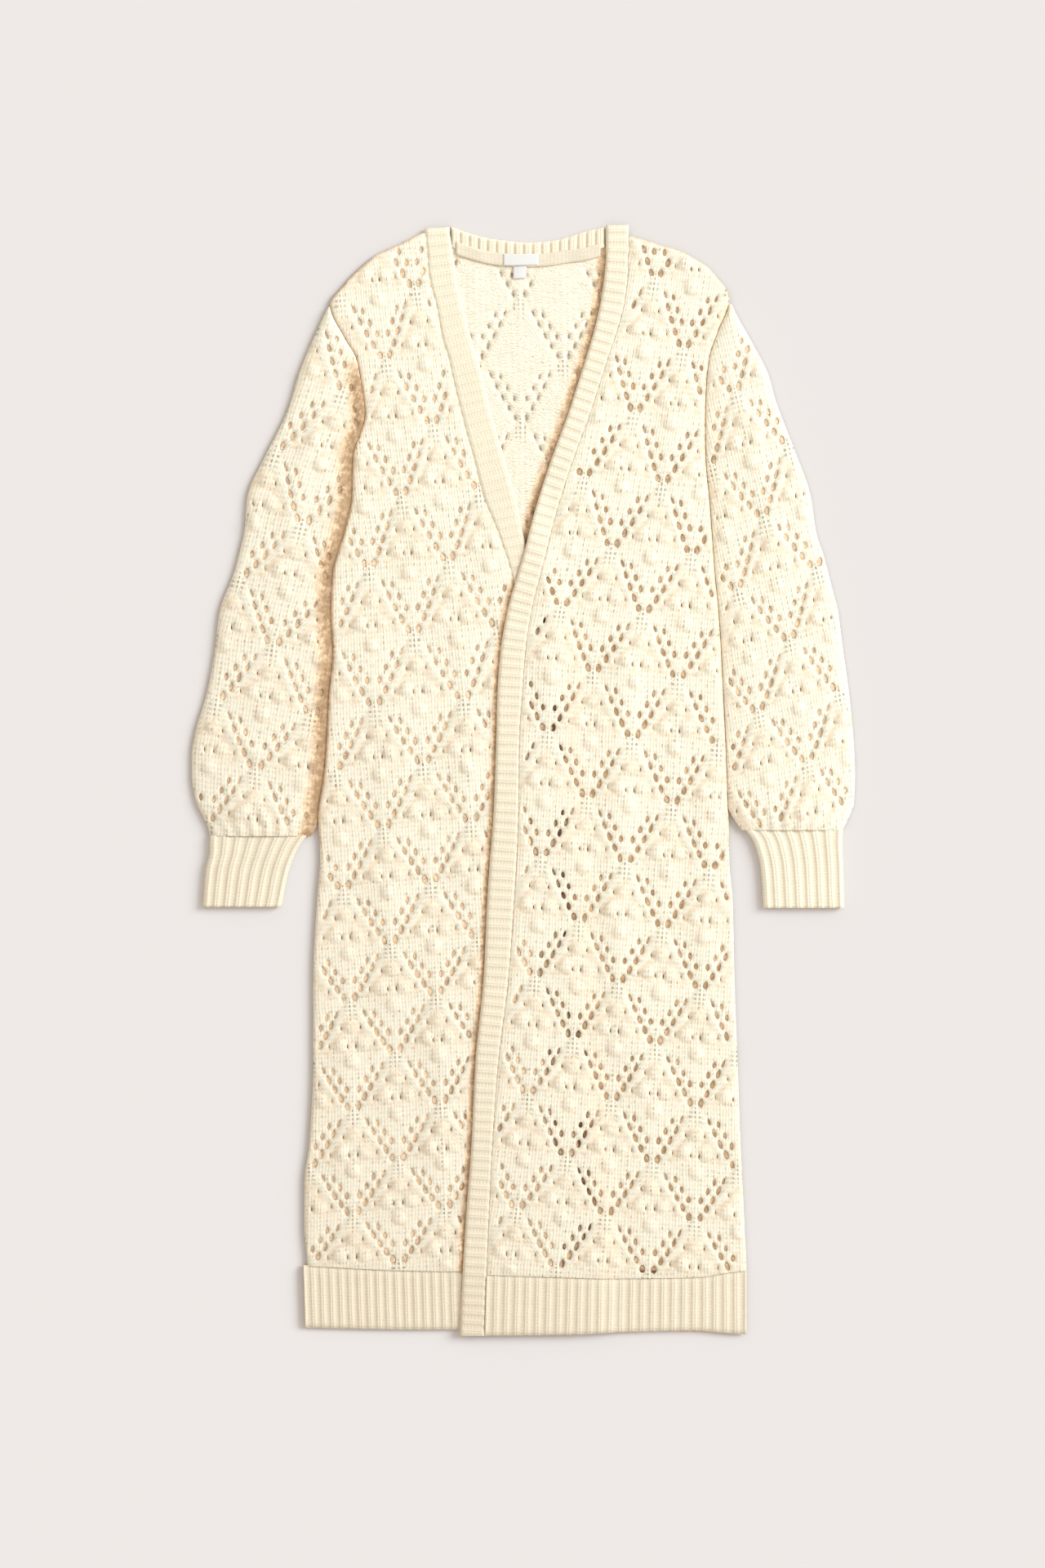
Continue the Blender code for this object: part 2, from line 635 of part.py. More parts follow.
def make_neck():
    """The rib that stands round the back neck, the tape over its seam, and two blank labels."""
    half_gap = 0.5 * SEAM_GAP
    start, end = NECK[0].x + NECK_INSET, NECK[-1].x - NECK_INSET
    count = 2 * round((end - start) / RIB_PITCH_NECK)
    upper, lower = [], []
    for index in range(count + 1):
        x = start + (end - start) * index / count
        rise = RIB_WALL + RIB_HEIGHT * (index % 2)
        high, low = neck_height(x, "top"), neck_height(x, "seam") + half_gap
        upper.append(((x, high, rise), (x, low, rise)))
        if index % 2 == 0:
            lower.append(((x, high, 0.0), (x, low, 0.0)))
    cloth_strip("band_neck", upper, lower, along=0)
    bottom = RIB_WALL + RIB_HEIGHT + LAYER_GAP
    upper, lower = [], []
    for x in spread(start + TAPE_RIGHT_INSET, end - TAPE_LEFT_INSET, TAPE_STEP):
        low = neck_height(x, "tape")
        high = low + TAPE_DEPTH
        upper.append(((x, high, bottom + TAPE_WALL), (x, low, bottom + TAPE_WALL)))
        lower.append(((x, high, bottom), (x, low, bottom)))
    cloth_strip("neck_tape", upper, lower, along=0, colour=WHITE_TAPE)
    make_label("label", LABEL, bottom + TAPE_WALL + LAYER_GAP)
    make_label("size_label", SIZE_LABEL, BACK_WALL + LAYER_GAP)


def make_label(name, place, height):
    left, right, low, high = place
    bm = bmesh.new()
    bmesh.ops.create_cube(bm, size=1.0)
    bmesh.ops.scale(bm, vec=(right - left, high - low, TAPE_WALL), verts=bm.verts)
    centre = (0.5 * (left + right), 0.5 * (low + high), height + 0.5 * TAPE_WALL)
    bmesh.ops.translate(bm, vec=centre, verts=bm.verts)
    new_object(name, bm, LABEL_WHITE, LABEL_ROUGHNESS)


def make_sleeve(side, sleeve, front, lace):
    """A sleeve laid flat beside the body: a laced upper layer over a plain under layer."""
    out = 1.0 if sleeve[0].outer > 0.0 else -1.0
    foot = sleeve[-1].y

    def inner(y):
        return read(front, y, "side") + out * (SEAM_GAP + read(sleeve, y, "tuck"))

    def clear_by(x, y):
        outer = read(sleeve, y, "outer")
        return min(out * (outer - x), out * (x - inner(y)), y - foot)

    def across(x, y):
        width = read(sleeve, y, "outer") - inner(y)
        return min(max((x - inner(y)) / width, 0.0), 1.0)

    def base(x, y):
        t = across(x, y)
        fade = 1.0 - ease((y - foot) / GATHER_REACH)
        gather = GATHER_HEIGHT * fade * (0.5 - 0.5 * math.cos(2.0 * math.pi * GATHERS * t))
        puff = SLEEVE_PUFF * math.sin(math.pi * t) * (1.0 - 0.5 * fade)
        return SLEEVE_BASE + puff + gather * math.sin(math.pi * t)

    def top(x, y):
        edge = min(out * (read(sleeve, y, "outer") - x), out * (x - inner(y)))
        return base(x, y) + edge_wall(edge, FRONT_WALL)

    def fits(margin):
        return lambda x, y: clear_by(x, y) > margin

    def outline_at(inset):
        outer_edge = [(row.outer - out * inset, row.y) for row in sleeve]
        inner_edge = [(inner(row.y) + out * inset, row.y) for row in sleeve]
        hem = []
        for index in range(1, 2 * GATHERS):
            t = index / (2.0 * GATHERS)
            hem.append((inner(foot) + t * (sleeve[-1].outer - inner(foot)), foot))
        loop = inner_edge + hem + list(reversed(outer_edge))
        return loop if out > 0.0 else list(reversed(loop))

    holes = []
    for x, y in lace_places(lace, EYELETS, fits(0.5 * EYELET_WIDTH + CLEAR_OF_EDGE)):
        holes.append(ring(x, y, EYELET_WIDTH, EYELET_HEIGHT, EYELET_CORNERS))
    bobbles = lace_places(lace, BOBBLES, fits(BOBBLE_RADIUS + CLEAR_OF_EDGE))
    controls = []
    for row in sleeve:
        for t in SLEEVE_COLUMNS:
            controls.append((inner(row.y) + t * (row.outer - inner(row.y)), row.y))
    for index in range(1, 2 * GATHERS):
        t = index / (2.0 * GATHERS)
        y = foot + GATHER_ROW * GATHER_REACH
        controls.append((inner(y) + t * (read(sleeve, y, "outer") - inner(y)), y))
    controls = [place for place in controls if clear_by(*place) > BOBBLE_RADIUS]
    name = "sleeve_" + side
    cloth_panel(name + "_upper", outline_at(0.0), top, base, holes, bobbles, controls)
    under = outline_at(UNDER_INSET)
    cloth_panel(name + "_under", under, lambda x, y: BACK_WALL, lambda x, y: 0.0)


def cuff_section(left, right):
    """Outer and inner loops of a flattened rib cuff, as pairs of X and Z."""
    width = right - left
    height = 2.0 * CUFF_WALL + CUFF_SLIT
    middle = CUFF_WALL + 0.5 * CUFF_SLIT
    loop = [(left, middle)]
    slit = [(left + CUFF_LIP, middle)]
    steps = 2 * CUFF_RIBS
    for index in range(steps + 1):
        x = left + CUFF_SIDE + (width - 2.0 * CUFF_SIDE) * index / steps
        shoulder = CUFF_SHOULDER if index in (0, steps) else 0.0
        loop.append((x, height - shoulder - RIB_HEIGHT * ((index + 1) % 2)))
        slit.append((x, middle + 0.5 * CUFF_SLIT))
    loop.append((right, middle))
    slit.append((right - CUFF_LIP, middle))
    for part in (0.0, 1.0 / 3.0, 2.0 / 3.0, 1.0):
        x = right - CUFF_SIDE - (width - 2.0 * CUFF_SIDE) * part
        loop.append((x, 0.0))
        slit.append((x, middle - 0.5 * CUFF_SLIT))
    return loop, slit


def make_cuff(name, cuff):
    """A rib cuff as a tube with a thin slit, open at both ends."""
    bm = bmesh.new()
    sections = []
    for index, row in enumerate(cuff):
        y = row.y - SEAM_GAP if index == 0 else row.y
        loops = cuff_section(*sorted((row.outer, row.inner)))
        sections.append([[bm.verts.new((x, y, z)) for x, z in loop] for loop in loops])
    count = len(sections[0][0])
    for here, after in zip(sections, sections[1:]):
        for layer in (0, 1):
            for corner in range(count):
                follow = (corner + 1) % count
                bm.faces.new([
                    here[layer][corner], here[layer][follow],
                    after[layer][follow], after[layer][corner],
                ])
    for outer, slit in (sections[0], sections[-1]):
        for corner in range(count):
            follow = (corner + 1) % count
            bm.faces.new([outer[corner], outer[follow], slit[follow], slit[corner]])
    new_object(name, bm, CREAM_RIB)


def main():
    remove_old_objects()
    collection = bpy.data.collections.new(COLLECTION)
    bpy.context.scene.collection.children.link(collection)
    make_back()
    make_fronts()
    make_bands()
    make_hems()
    make_neck()
    make_sleeve("right", RIGHT_SLEEVE, RIGHT_FRONT, RIGHT_SLEEVE_LACE)
    make_sleeve("left", LEFT_SLEEVE, LEFT_FRONT, LEFT_SLEEVE_LACE)
    make_cuff("cuff_right", RIGHT_CUFF)
    make_cuff("cuff_left", LEFT_CUFF)


main()
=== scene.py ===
"""Knits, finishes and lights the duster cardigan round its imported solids.

The cardigan lies flat with its left front over its right front. X runs across it, Y from hem
to neck and Z up. Tables and sizes are in millimetres and become metres where a mesh is made.
Left and right are the wearer's, so the left front lies at +X.
"""

import math
from collections import namedtuple

import bpy
import numpy as np
from bpy.props import FloatProperty, FloatVectorProperty, PointerProperty
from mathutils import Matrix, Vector
from mathutils.geometry import delaunay_2d_cdt
from mathutils.kdtree import KDTree


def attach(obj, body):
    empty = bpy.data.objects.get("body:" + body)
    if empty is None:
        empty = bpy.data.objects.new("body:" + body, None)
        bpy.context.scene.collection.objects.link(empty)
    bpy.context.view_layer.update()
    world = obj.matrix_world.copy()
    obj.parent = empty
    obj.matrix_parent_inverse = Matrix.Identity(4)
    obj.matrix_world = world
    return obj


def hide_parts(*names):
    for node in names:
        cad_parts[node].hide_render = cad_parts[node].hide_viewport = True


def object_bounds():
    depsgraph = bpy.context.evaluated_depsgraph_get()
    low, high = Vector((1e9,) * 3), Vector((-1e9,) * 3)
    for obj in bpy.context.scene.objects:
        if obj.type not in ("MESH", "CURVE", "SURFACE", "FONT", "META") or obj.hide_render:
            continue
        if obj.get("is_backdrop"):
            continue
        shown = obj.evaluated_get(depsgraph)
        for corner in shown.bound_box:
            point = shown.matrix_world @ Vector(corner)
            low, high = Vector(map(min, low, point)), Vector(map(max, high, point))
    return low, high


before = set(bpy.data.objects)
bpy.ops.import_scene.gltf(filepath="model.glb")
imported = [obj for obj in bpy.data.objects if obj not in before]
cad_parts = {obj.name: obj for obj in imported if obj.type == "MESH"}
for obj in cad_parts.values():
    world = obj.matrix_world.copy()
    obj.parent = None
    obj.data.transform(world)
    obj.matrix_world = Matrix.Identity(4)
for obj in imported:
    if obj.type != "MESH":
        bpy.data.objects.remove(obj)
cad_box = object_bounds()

bl_info = {
    "name": "Duster Cardigan",
    "version": (1, 0, 0),
    "blender": (4, 5, 0),
    "location": "View3D > Sidebar > Cardigan",
    "description": "Builds a lace duster cardigan, laid flat, and its stage",
    "category": "Object",
}

MM = 0.001
SEED = 11

# Painted shade inside the cloth, from 0 where it is lit to 1 where it is deep
HOLE_SHADE = 0.8
WRONG_SIDE_HOLE_SHADE = 0.3
EYELET_RIM_SHADE = 0.2
PANEL_FOOT_SHADE = 0.25
STRIP_FOOT_SHADE = 0.6
TUBE_INSIDE_SHADE = 1.0
CREVICE_SHADE = 1.5

# Width of an opening's foot beside that of its top, and the width up to which it is a slit
EYELET_TAPER = 0.85
WRONG_SIDE_TAPER = 0.25
SLIT_TAPER = 0.4
SLIT_WIDTH = 2.2

# Heights of the layers, one over the other
BACK_WALL = 2.4
BACK_TUCK = 3.5
FRONT_WALL = 2.4
FRONT_BASE = 3.0
SLEEVE_BASE = 2.8
LACE_THICKNESS = 1.2
EDGE_LOW = 3.3
BAND_WIDTH = 22.0
SEAM_LAP = 0.8
OVERLAP_LIFT = 3.6
OVERLAP_LEDGE = 8.0
OVERLAP_SLOPE = 30.0
WAVE_HEIGHT = 0.9
WAVE_ACROSS = 230.0
WAVE_ALONG = 390.0
WAVE_FADE = 40.0
CROSSING = 222.0

FrontRow = namedtuple("FrontRow", "y free seam side")
HemRow = namedtuple("HemRow", "x top bottom")
SleeveRow = namedtuple("SleeveRow", "y outer tuck")
CuffRow = namedtuple("CuffRow", "y outer inner")
NeckRow = namedtuple("NeckRow", "x top seam tape")
Opening = namedtuple("Opening", "across up width height lean")
Bobble = namedtuple("Bobble", "across up")
Crease = namedtuple("Crease", "points width height")
Dome = namedtuple("Dome", "x y radius height shade")
Shell = namedtuple("Shell", "points faces pattern hollow")


def rows_of(kind, rows):
    """Rows of a table, under the column names of their kind."""
    return [kind(*row) for row in rows]


# Free edge of the band, seam of the band to the panel, and side edge of the panel
LEFT_FRONT = rows_of(FrontRow, [
    (546, 83, 105, 109), (537, 83, 106, 138), (532, 83, 106, 155), (524, 83, 105, 171),
    (512, 82, 105, 188), (482, 78, 102, 207), (451, 71, 94, 196), (424, 63, 85, 187),
    (396, 54, 76, 184), (368, 45, 67, 183), (341, 35, 57, 183), (313, 25, 47, 184),
    (285, 16, 38, 187), (257, 8, 30, 189), (229, 1, 23, 191), (202, -7, 16, 193),
    (174, -15, 9, 196), (128, -23, 2, 199), (87, -26, -1, 201), (46, -27, -4, 203),
    (-36, -30, -5, 206), (-86, -34, -7, 207), (-118, -36, -9, 210), (-200, -40, -15, 212),
    (-282, -48, -25, 215), (-364, -52, -31, 218), (-446, -58, -35, 222), (-496, -61, -37, 224),
    (-560, -64, -39, 224),
])
RIGHT_FRONT = rows_of(FrontRow, [
    (549, -74, -98, -102), (538, -72, -97, -124), (528, -71, -96, -146), (510, -68, -95, -168),
    (498, -66, -93, -179), (477, -61, -87, -194), (443, -52, -81, -179), (424, -46, -75, -168),
    (406, -41, -71, -164), (368, -32, -62, -159), (324, -19, -50, -171), (285, -8, -40, -172),
    (251, -1, -26, -179), (229, 4, -18, -186), (210, 8, -12, -191), (169, 19, -3, -193),
    (128, 26, 2, -191), (87, 29, 5, -195), (46, 30, 7, -197), (5, 32, 8, -200), (-36, 34, 8, -206),
    (-77, 36, 10, -204), (-118, 39, 12, -207), (-200, 43, 18, -211), (-282, 51, 28, -211),
    (-364, 56, 34, -215), (-405, 58, 38, -220), (-446, 61, 39, -220), (-489, 64, 41, -217),
    (-555, 66, 43, -219),
])
LEFT_BAND = (557.0, -557.0)
RIGHT_BAND = (555.0, -551.0)

# Rib hems: where the rib starts and where it ends
LEFT_HEM = rows_of(HemRow, [
    (-39, -496, -557), (48, -499, -556), (90, -500, -554), (171, -499, -552), (207, -494, -555),
    (226, -492, -556),
])
RIGHT_HEM = rows_of(HemRow, [
    (-224, -487, -549), (-125, -492, -551), (-70, -493, -551), (66, -493, -552),
])
BACK_HEM = rows_of(HemRow, [(-224, -488, -548), (226, -493, -554)])

RIGHT_HEM_RIB = 9.5
LEFT_HEM_RIB = 10.4
BACK_HEM_RIB = 10.0

# Outer edge of each sleeve, and how far its inner edge lies from the side of the body
RIGHT_SLEEVE = rows_of(SleeveRow, [
    (475, -196, 0), (456, -205, 0), (443, -211, 0), (424, -219, 0), (406, -226, 0), (385, -232, 0),
    (368, -238, 0), (324, -260, 0), (285, -277, 0), (251, -280, 0), (229, -285, 0), (210, -290, 1),
    (169, -305, 1), (128, -310, 2), (87, -318, 2), (46, -330, 2), (25, -333, 2), (5, -333, 3),
    (-20, -329, 3), (-36, -322, 3), (-46, -317, 5), (-55, -315, 10),
])
LEFT_SLEEVE = rows_of(SleeveRow, [
    (478, 209, 0), (460, 218, 0), (435, 232, 0), (407, 246, 0), (382, 253, 0), (363, 260, 0),
    (327, 274, 0), (287, 288, 0), (249, 294, 0), (224, 302, 0), (193, 310, 0), (169, 316, 0),
    (138, 320, 0), (87, 327, 0), (46, 331, 0), (9, 333, 0), (-22, 332, 1), (-37, 327, 7),
    (-49, 321, 15),
])
RIGHT_CUFF = rows_of(CuffRow, [
    (-55, -315, -217), (-70, -315, -227), (-90, -319, -235), (-127, -322, -243),
])
LEFT_CUFF = rows_of(CuffRow, [
    (-49, 321, 222), (-62, 320, 231), (-88, 321, 238), (-128, 322, 241),
])
CUFF_RIBS = 7.5
CUFF_MIDDLE = 3.2
CUFF_HEIGHT = 6.6

# Back neck: top of the standing rib, the seam under the tape, and the tape's lower edge
NECK = rows_of(NeckRow, [
    (-73, 556, 536, 530), (-57, 550, 530, 524), (-39, 545, 526, 519), (-20, 542, 523, 516),
    (5, 540, 522, 515), (24, 541, 523, 516), (43, 545, 525, 519), (59, 550, 528, 521),
    (82, 556, 536, 527),
])
TAPE_DEPTH = 13.0
TAPE_FLOOR = 3.2

# Labels: left, right, lower and upper edge, and the height that they lie at
LABEL = (-20.0, 15.0, 516.5, 528.0, 4.9)
SIZE_LABEL = (-10.0, 3.0, 503.5, 517.5, 3.2)

# Lace: its tilt from column to column, then Y and X of the foot of each V on the first column,
# and the distance to the next column
LEFT_FRONT_LACE = (-3.3, [
    (509, 133, 38), (374, 112, 38.5), (238, 89, 40), (113, 70, 42.5), (-13, 64, 42.5),
    (-137, 56, 42), (-254, 50, 41), (-373, 43, 43), (-484, 33, 46), (-595, 28, 46),
])
RIGHT_FRONT_LACE = (3.3, [
    (628, -200, 37), (492, -185, 37.5), (355, -170, 39), (218, -155, 39.5), (79, -150, 44.5),
    (-44, -141, 44), (-160, -134, 43.5), (-269, -129, 43), (-378, -126, 44.5), (-480, -125, 47),
    (-590, -125, 47),
])
RIGHT_SLEEVE_LACE = (-8.0, [
    (528, -140, 47), (395, -179, 47.5), (262, -221, 47.5), (140, -251, 48), (16, -269, 47),
    (-105, -274, 45),
])
LEFT_SLEEVE_LACE = (11.0, [
    (520, 180, 39), (394, 211, 39), (269, 239, 39.5), (145, 266, 40), (23, 284, 41),
    (-100, 294, 41),
])
BACK_LACE = (0.0, [
    (613, -5, 43.5), (488, -5, 43.5), (364, -3, 43.5), (239, -2, 43.5),
])
COLUMNS = range(-6, 7)

# Main creases, each a soft ridge: its points, its half width and its height
LEFT_CREASES = [
    Crease([(130, 258), (102, 128), (95, 8), (91, -119), (98, -226), (118, -300), (118, -402)], 33, 2.2),
    Crease([(30, 205), (27, 120), (22, 40)], 20, 1.2),
    Crease([(160, 430), (150, 330), (160, 230)], 26, 1.3),
    Crease([(186, 60), (180, -120), (192, -300)], 22, 1.0),
    Crease([(20, -250), (22, -360), (6, -470)], 24, 1.0),
]
RIGHT_CREASES = [
    Crease([(-120, 420), (-105, 300), (-112, 180)], 24, 1.2),
    Crease([(-150, 150), (-125, 20), (-135, -120), (-120, -260)], 30, 1.5),
    Crease([(-60, 180), (-55, 60), (-62, -60)], 22, 1.0),
    Crease([(-85, -150), (-75, -290), (-92, -430)], 28, 1.4),
    Crease([(-190, -200), (-178, -330), (-185, -440)], 22, 0.9),
]
RIGHT_SLEEVE_CREASES = [
    Crease([(-195, 400), (-228, 290), (-245, 190)], 18, 1.4),
    Crease([(-300, 60), (-262, 20), (-235, 30)], 14, 1.3),
    Crease([(-312, 10), (-272, -28), (-240, -22)], 12, 1.2),
]
LEFT_SLEEVE_CREASES = [
    Crease([(215, 400), (243, 300), (258, 200)], 18, 1.4),
    Crease([(322, 110), (285, 60), (262, 66)], 14, 1.3),
    Crease([(318, 30), (280, -12), (248, -4)], 12, 1.2),
]

# One diamond of the lace, mirrored: across in columns and up in rows from the foot of its V,
# sizes in millimetres, and the lean of the opening's top away from the middle in degrees
EYELETS = rows_of(Opening, [
    (0.064, 0.0, 6.0, 9.8, 6), (0.135, 0.08, 5.3, 10.2, 14), (0.205, 0.165, 4.9, 10.2, 18),
    (0.275, 0.255, 4.3, 9.8, 18), (0.335, 0.345, 3.2, 8.4, 18), (0.07, 0.155, 4.9, 8.0, 4),
    (0.15, 0.24, 4.5, 7.8, 6), (0.225, 0.33, 3.9, 7.8, 8),
])
SLITS = rows_of(Opening, [
    (0.05, 0.55, 1.9, 6.0, 4), (0.112, 0.72, 1.9, 5.5, 6), (0.262, 0.56, 1.6, 5.5, 2),
])
BOBBLES = rows_of(Bobble, [(0.0, 0.41), (-0.13, 0.575), (0.13, 0.575), (0.0, 0.74)])

# Stitches to one repeat of the lace, and lines of stitches across it where they slant
WALES = 14
COURSES = 24
SLANTED = 25


def length_setting(name, description, default):
    """A length in metres that a user may change."""
    return FloatProperty(name=name, description=description, default=default, min=0.0, unit="LENGTH")


def colour_setting(name, description, default):
    """A colour that a user may change."""
    return FloatVectorProperty(
        name=name, description=description, default=default, subtype="COLOR", size=3, min=0.0, max=1.0
    )


class CardiganSizes(bpy.types.PropertyGroup):
    """Sizes that a user may change."""

    knit_step: length_setting("Knit step", "Distance between the points of the lace panels", 0.0027)
    plain_step: length_setting("Plain step", "Distance between the points of hidden cloth", 0.012)
    bobble_radius: length_setting("Bobble radius", "Half the width of a bobble", 0.0078)
    bobble_height: length_setting("Bobble height", "Height of a bobble over the panel", 0.0026)
    lip: length_setting("Eyelet lip", "How far the rim of an eyelet is rounded down", 0.0009)
    relief: length_setting("Lace relief", "Height of the slanted bands beside the eyelets", 0.0007)
    band_rib: length_setting("Band rib", "Distance from rib to rib on the front bands", 0.0097)
    neck_rib: length_setting("Neck rib", "Distance from rib to rib round the back neck", 0.0092)
    rib_height: length_setting("Rib height", "Height of a rib over its groove", 0.0008)


class CardiganColours(bpy.types.PropertyGroup):
    """Colours that a user may change."""

    wool: colour_setting("Wool", "Cream of the lace", (0.92, 0.865, 0.70))
    rib: colour_setting("Rib", "Cream of the ribs", (0.85, 0.78, 0.61))
    # Colour of the painted shade between the stitches and in the ladder's dots
    stitch_shade: colour_setting("Stitch shade", "Shade between the stitches", (0.27, 0.215, 0.135))
    # Colour of the painted shade in the grooves of the ribs and between the tape's stitches
    groove: colour_setting("Groove", "Shade of the grooves of a rib", (0.81, 0.72, 0.54))
    # Colour of the painted warm shade deep in the eyelets, crevices and under the other layers
    hollow: colour_setting("Hollow", "Warm shade deep inside the wool", (0.95, 0.70, 0.45))
    tape: colour_setting("Tape", "Cream of the neck tape", (0.85, 0.77, 0.61))
    label: colour_setting("Label", "White of the bare labels", (0.75, 0.75, 0.73))
    floor: colour_setting("Floor", "Pale ground under the cardigan", (0.674, 0.642, 0.622))


def size(name):
    """A size that the user may change, in millimetres."""
    return getattr(bpy.context.scene.cardigan_sizes, name) / MM


def colour(name, share=1.0):
    """A colour that the user may change, times one share or a share for each of its parts."""
    return tuple(np.multiply(share, getattr(bpy.context.scene.cardigan_colours, name)[:]).tolist())


# Curves and heights


def ease(t):
    """0 to 1 with a soft start and end."""
    t = np.clip(t, 0.0, 1.0)
    return t * t * (3.0 - 2.0 * t)


def fall(t):
    """1 to 0 with a soft start and end."""
    return 1.0 - ease(t)


def round_over(t):
    """0 to 1 along a quarter of a circle, as a rolled edge rises."""
    t = np.clip(t, 0.0, 1.0)
    return np.sqrt(1.0 - (1.0 - t) ** 2)


def bell(t):
    """1 at zero, falling softly to 0 at 1 and beyond."""
    return ease(1.0 - np.abs(t))


class Curve:
    """A smooth line through a column of a table, which never swings past its rows."""

    def __init__(self, table, name, key="y"):
        rows = sorted(table, key=lambda row: getattr(row, key))
        self.keys = np.array([getattr(row, key) for row in rows], float)
        self.values = np.array([getattr(row, name) for row in rows], float)
        grades = np.diff(self.values) / np.diff(self.keys)
        before, after = grades[:-1], grades[1:]
        same_way = before * after > 0.0
        total = np.where(same_way, before + after, 1.0)
        inner = np.where(same_way, 2.0 * before * after / total, 0.0)
        self.slopes = np.concatenate([grades[:1], inner, grades[-1:]])

    def __call__(self, place):
        place = np.clip(place, self.keys[0], self.keys[-1])
        index = np.clip(np.searchsorted(self.keys, place) - 1, 0, len(self.keys) - 2)
        span = self.keys[index + 1] - self.keys[index]
        t = (place - self.keys[index]) / span
        rise = t * t * (3.0 - 2.0 * t)
        value = (1.0 - rise) * self.values[index] + rise * self.values[index + 1]
        value = value + span * t * (1.0 - t) ** 2 * self.slopes[index]
        return value - span * t * t * (1.0 - t) * self.slopes[index + 1]

    def apart(self, x, y):
        """Distance from the line, with a minus sign on its lower side in X."""
        reach = 2.0
        lean = (self(y + reach) - self(y - reach)) / (2.0 * reach)
        return (x - self(y)) / np.hypot(1.0, lean)


class Lace:
    """The lattice of the lace: columns count half pitches across, rows count down."""

    def __init__(self, tilt, rows):
        self.tilt = tilt
        self.last_row = len(rows) - 1.0
        table = np.array(rows, float)
        before = 2.0 * table[0] - table[1]
        after = 2.0 * table[-1] - table[-2]
        table = np.vstack([before, table, after])
        self.rows = np.arange(-1.0, len(rows) + 1.0)
        self.y, self.x, self.half_pitch = table.T
        self.drop = float(np.mean(-np.diff(self.y)))

    def point(self, column, row):
        pitch = np.interp(row, self.rows, self.half_pitch)
        x = np.interp(row, self.rows, self.x) + column * pitch
        return x, np.interp(row, self.rows, self.y) + column * self.tilt

    def pattern(self, x, y):
        """Place in the repeat: whole columns across and rows up."""
        column = np.zeros_like(x)
        for _ in range(4):
            row = np.interp(column * self.tilt - y, -self.y, self.rows)
            pitch = np.interp(row, self.rows, self.half_pitch)
            column = (x - np.interp(row, self.rows, self.x)) / pitch
        return 0.5 * column, -row


def in_diamond(across, up):
    """Place in a point's own diamond: across from its middle and up from its foot."""
    a = across - np.round(across)
    b = up - np.floor(up)
    outside = np.abs(a) + np.abs(b - 0.5) > 0.5
    a = np.where(outside, a - np.where(a > 0.0, 0.5, -0.5), a)
    return a, np.where(outside, (b + 0.5) % 1.0, b)


def near_bobble(bobble, x, y):
    """Which points lie near a bobble, and their places from its middle in its own radius."""
    out, rise = (x - bobble.x) / bobble.radius, (y - bobble.y) / bobble.radius
    near = np.abs(out) + np.abs(rise) < 4.0
    return near, out[near], rise[near]


def lace_relief(lace, bobbles, x, y):
    """Height of the bobbles, slanted bands and furrows over plain cloth."""
    a, b = in_diamond(*lace.pattern(x, y))
    side = np.abs(a)
    depth = 0.5 - side - np.abs(b - 0.5)
    upper = ease((b - 0.5) / 0.1)
    band = bell((depth - 0.1) / 0.1) * upper
    furrow = bell(depth / 0.05) * (1.0 - 0.6 * upper)
    cord = bell((depth - 0.05) / 0.03) * ease((0.42 - b) / 0.1)
    height = size("relief") * (band - 0.8 * furrow + 0.3 * cord)
    height = height + 0.8 * bell(np.hypot(side / 0.34, (b - 0.56) / 0.36))
    for bobble in bobbles:
        near, out, rise = near_bobble(bobble, x, y)
        far = (np.abs(out) ** 2.4 + np.abs(rise) ** 2.4) ** (1.0 / 2.4)
        dome = bobble.height * np.clip(1.0 - far ** 2.0, 0.0, 1.0) ** 0.8
        crease = 0.5 * bell(np.hypot(out / 1.15, (rise + 1.12) / 0.42))
        height[near] = np.maximum(height[near], 0.4 * height[near] + dome) - crease
    return height


def lace_shade(lace, bobbles, x, y):
    """Painted warm shade inside each diamond, beside its slanted bands and round each bobble."""
    a, b = in_diamond(*lace.pattern(x, y))
    depth = 0.5 - np.abs(a) - np.abs(b - 0.5)
    beside = bell((depth - 0.2) / 0.07) * ease((b - 0.42) / 0.1)
    arm = bell((depth + 0.02) / 0.05) * ease((b - 0.3) / 0.1) * ease((0.62 - b) / 0.1)
    shade = 0.1 * ease((depth - 0.16) / 0.08) * ease((b - 0.3) / 0.15) + 0.36 * beside + 0.04 * arm
    for bobble in bobbles:
        near, out, rise = near_bobble(bobble, x, y)
        ring = bell((np.hypot(out, rise) - 1.05) / 0.36)
        ring = ring * (0.12 + 0.2 * ease(-rise) + 0.16 * ease(rise)) * bobble.shade
        shade[near] = np.maximum(shade[near], ring)
    return shade


def creases(x, y, table):
    """Height of the creases, each a soft ridge along its points, fading to its ends."""
    height = np.zeros_like(x)
    for crease in table:
        line = np.array(crease.points, float)
        parts = np.hypot(*np.diff(line, axis=0).T)
        starts = np.concatenate([[0.0], np.cumsum(parts)])
        near, along = np.full(x.shape, 1e9), np.zeros_like(x)
        for index, (start, step) in enumerate(zip(line, np.diff(line, axis=0))):
            t = ((x - start[0]) * step[0] + (y - start[1]) * step[1]) / parts[index] ** 2
            t = np.clip(t, 0.0, 1.0)
            apart = np.hypot(x - start[0] - t * step[0], y - start[1] - t * step[1])
            along = np.where(apart < near, starts[index] + t * parts[index], along)
            near = np.minimum(near, apart)
        share = along / starts[-1]
        swell = ease(share / 0.25) * ease((1.0 - share) / 0.25)
        height = height + crease.height * bell(near / crease.width) * swell
    return height


def wave(x, y):
    """Soft waves of the laid cloth, never below zero."""
    across = np.sin(2.0 * math.pi * (x / WAVE_ACROSS + 0.3 * y / WAVE_ALONG))
    along = np.sin(2.0 * math.pi * (y / WAVE_ALONG - 0.2 * x / WAVE_ACROSS))
    return WAVE_HEIGHT * (0.5 + 0.25 * (across + along))


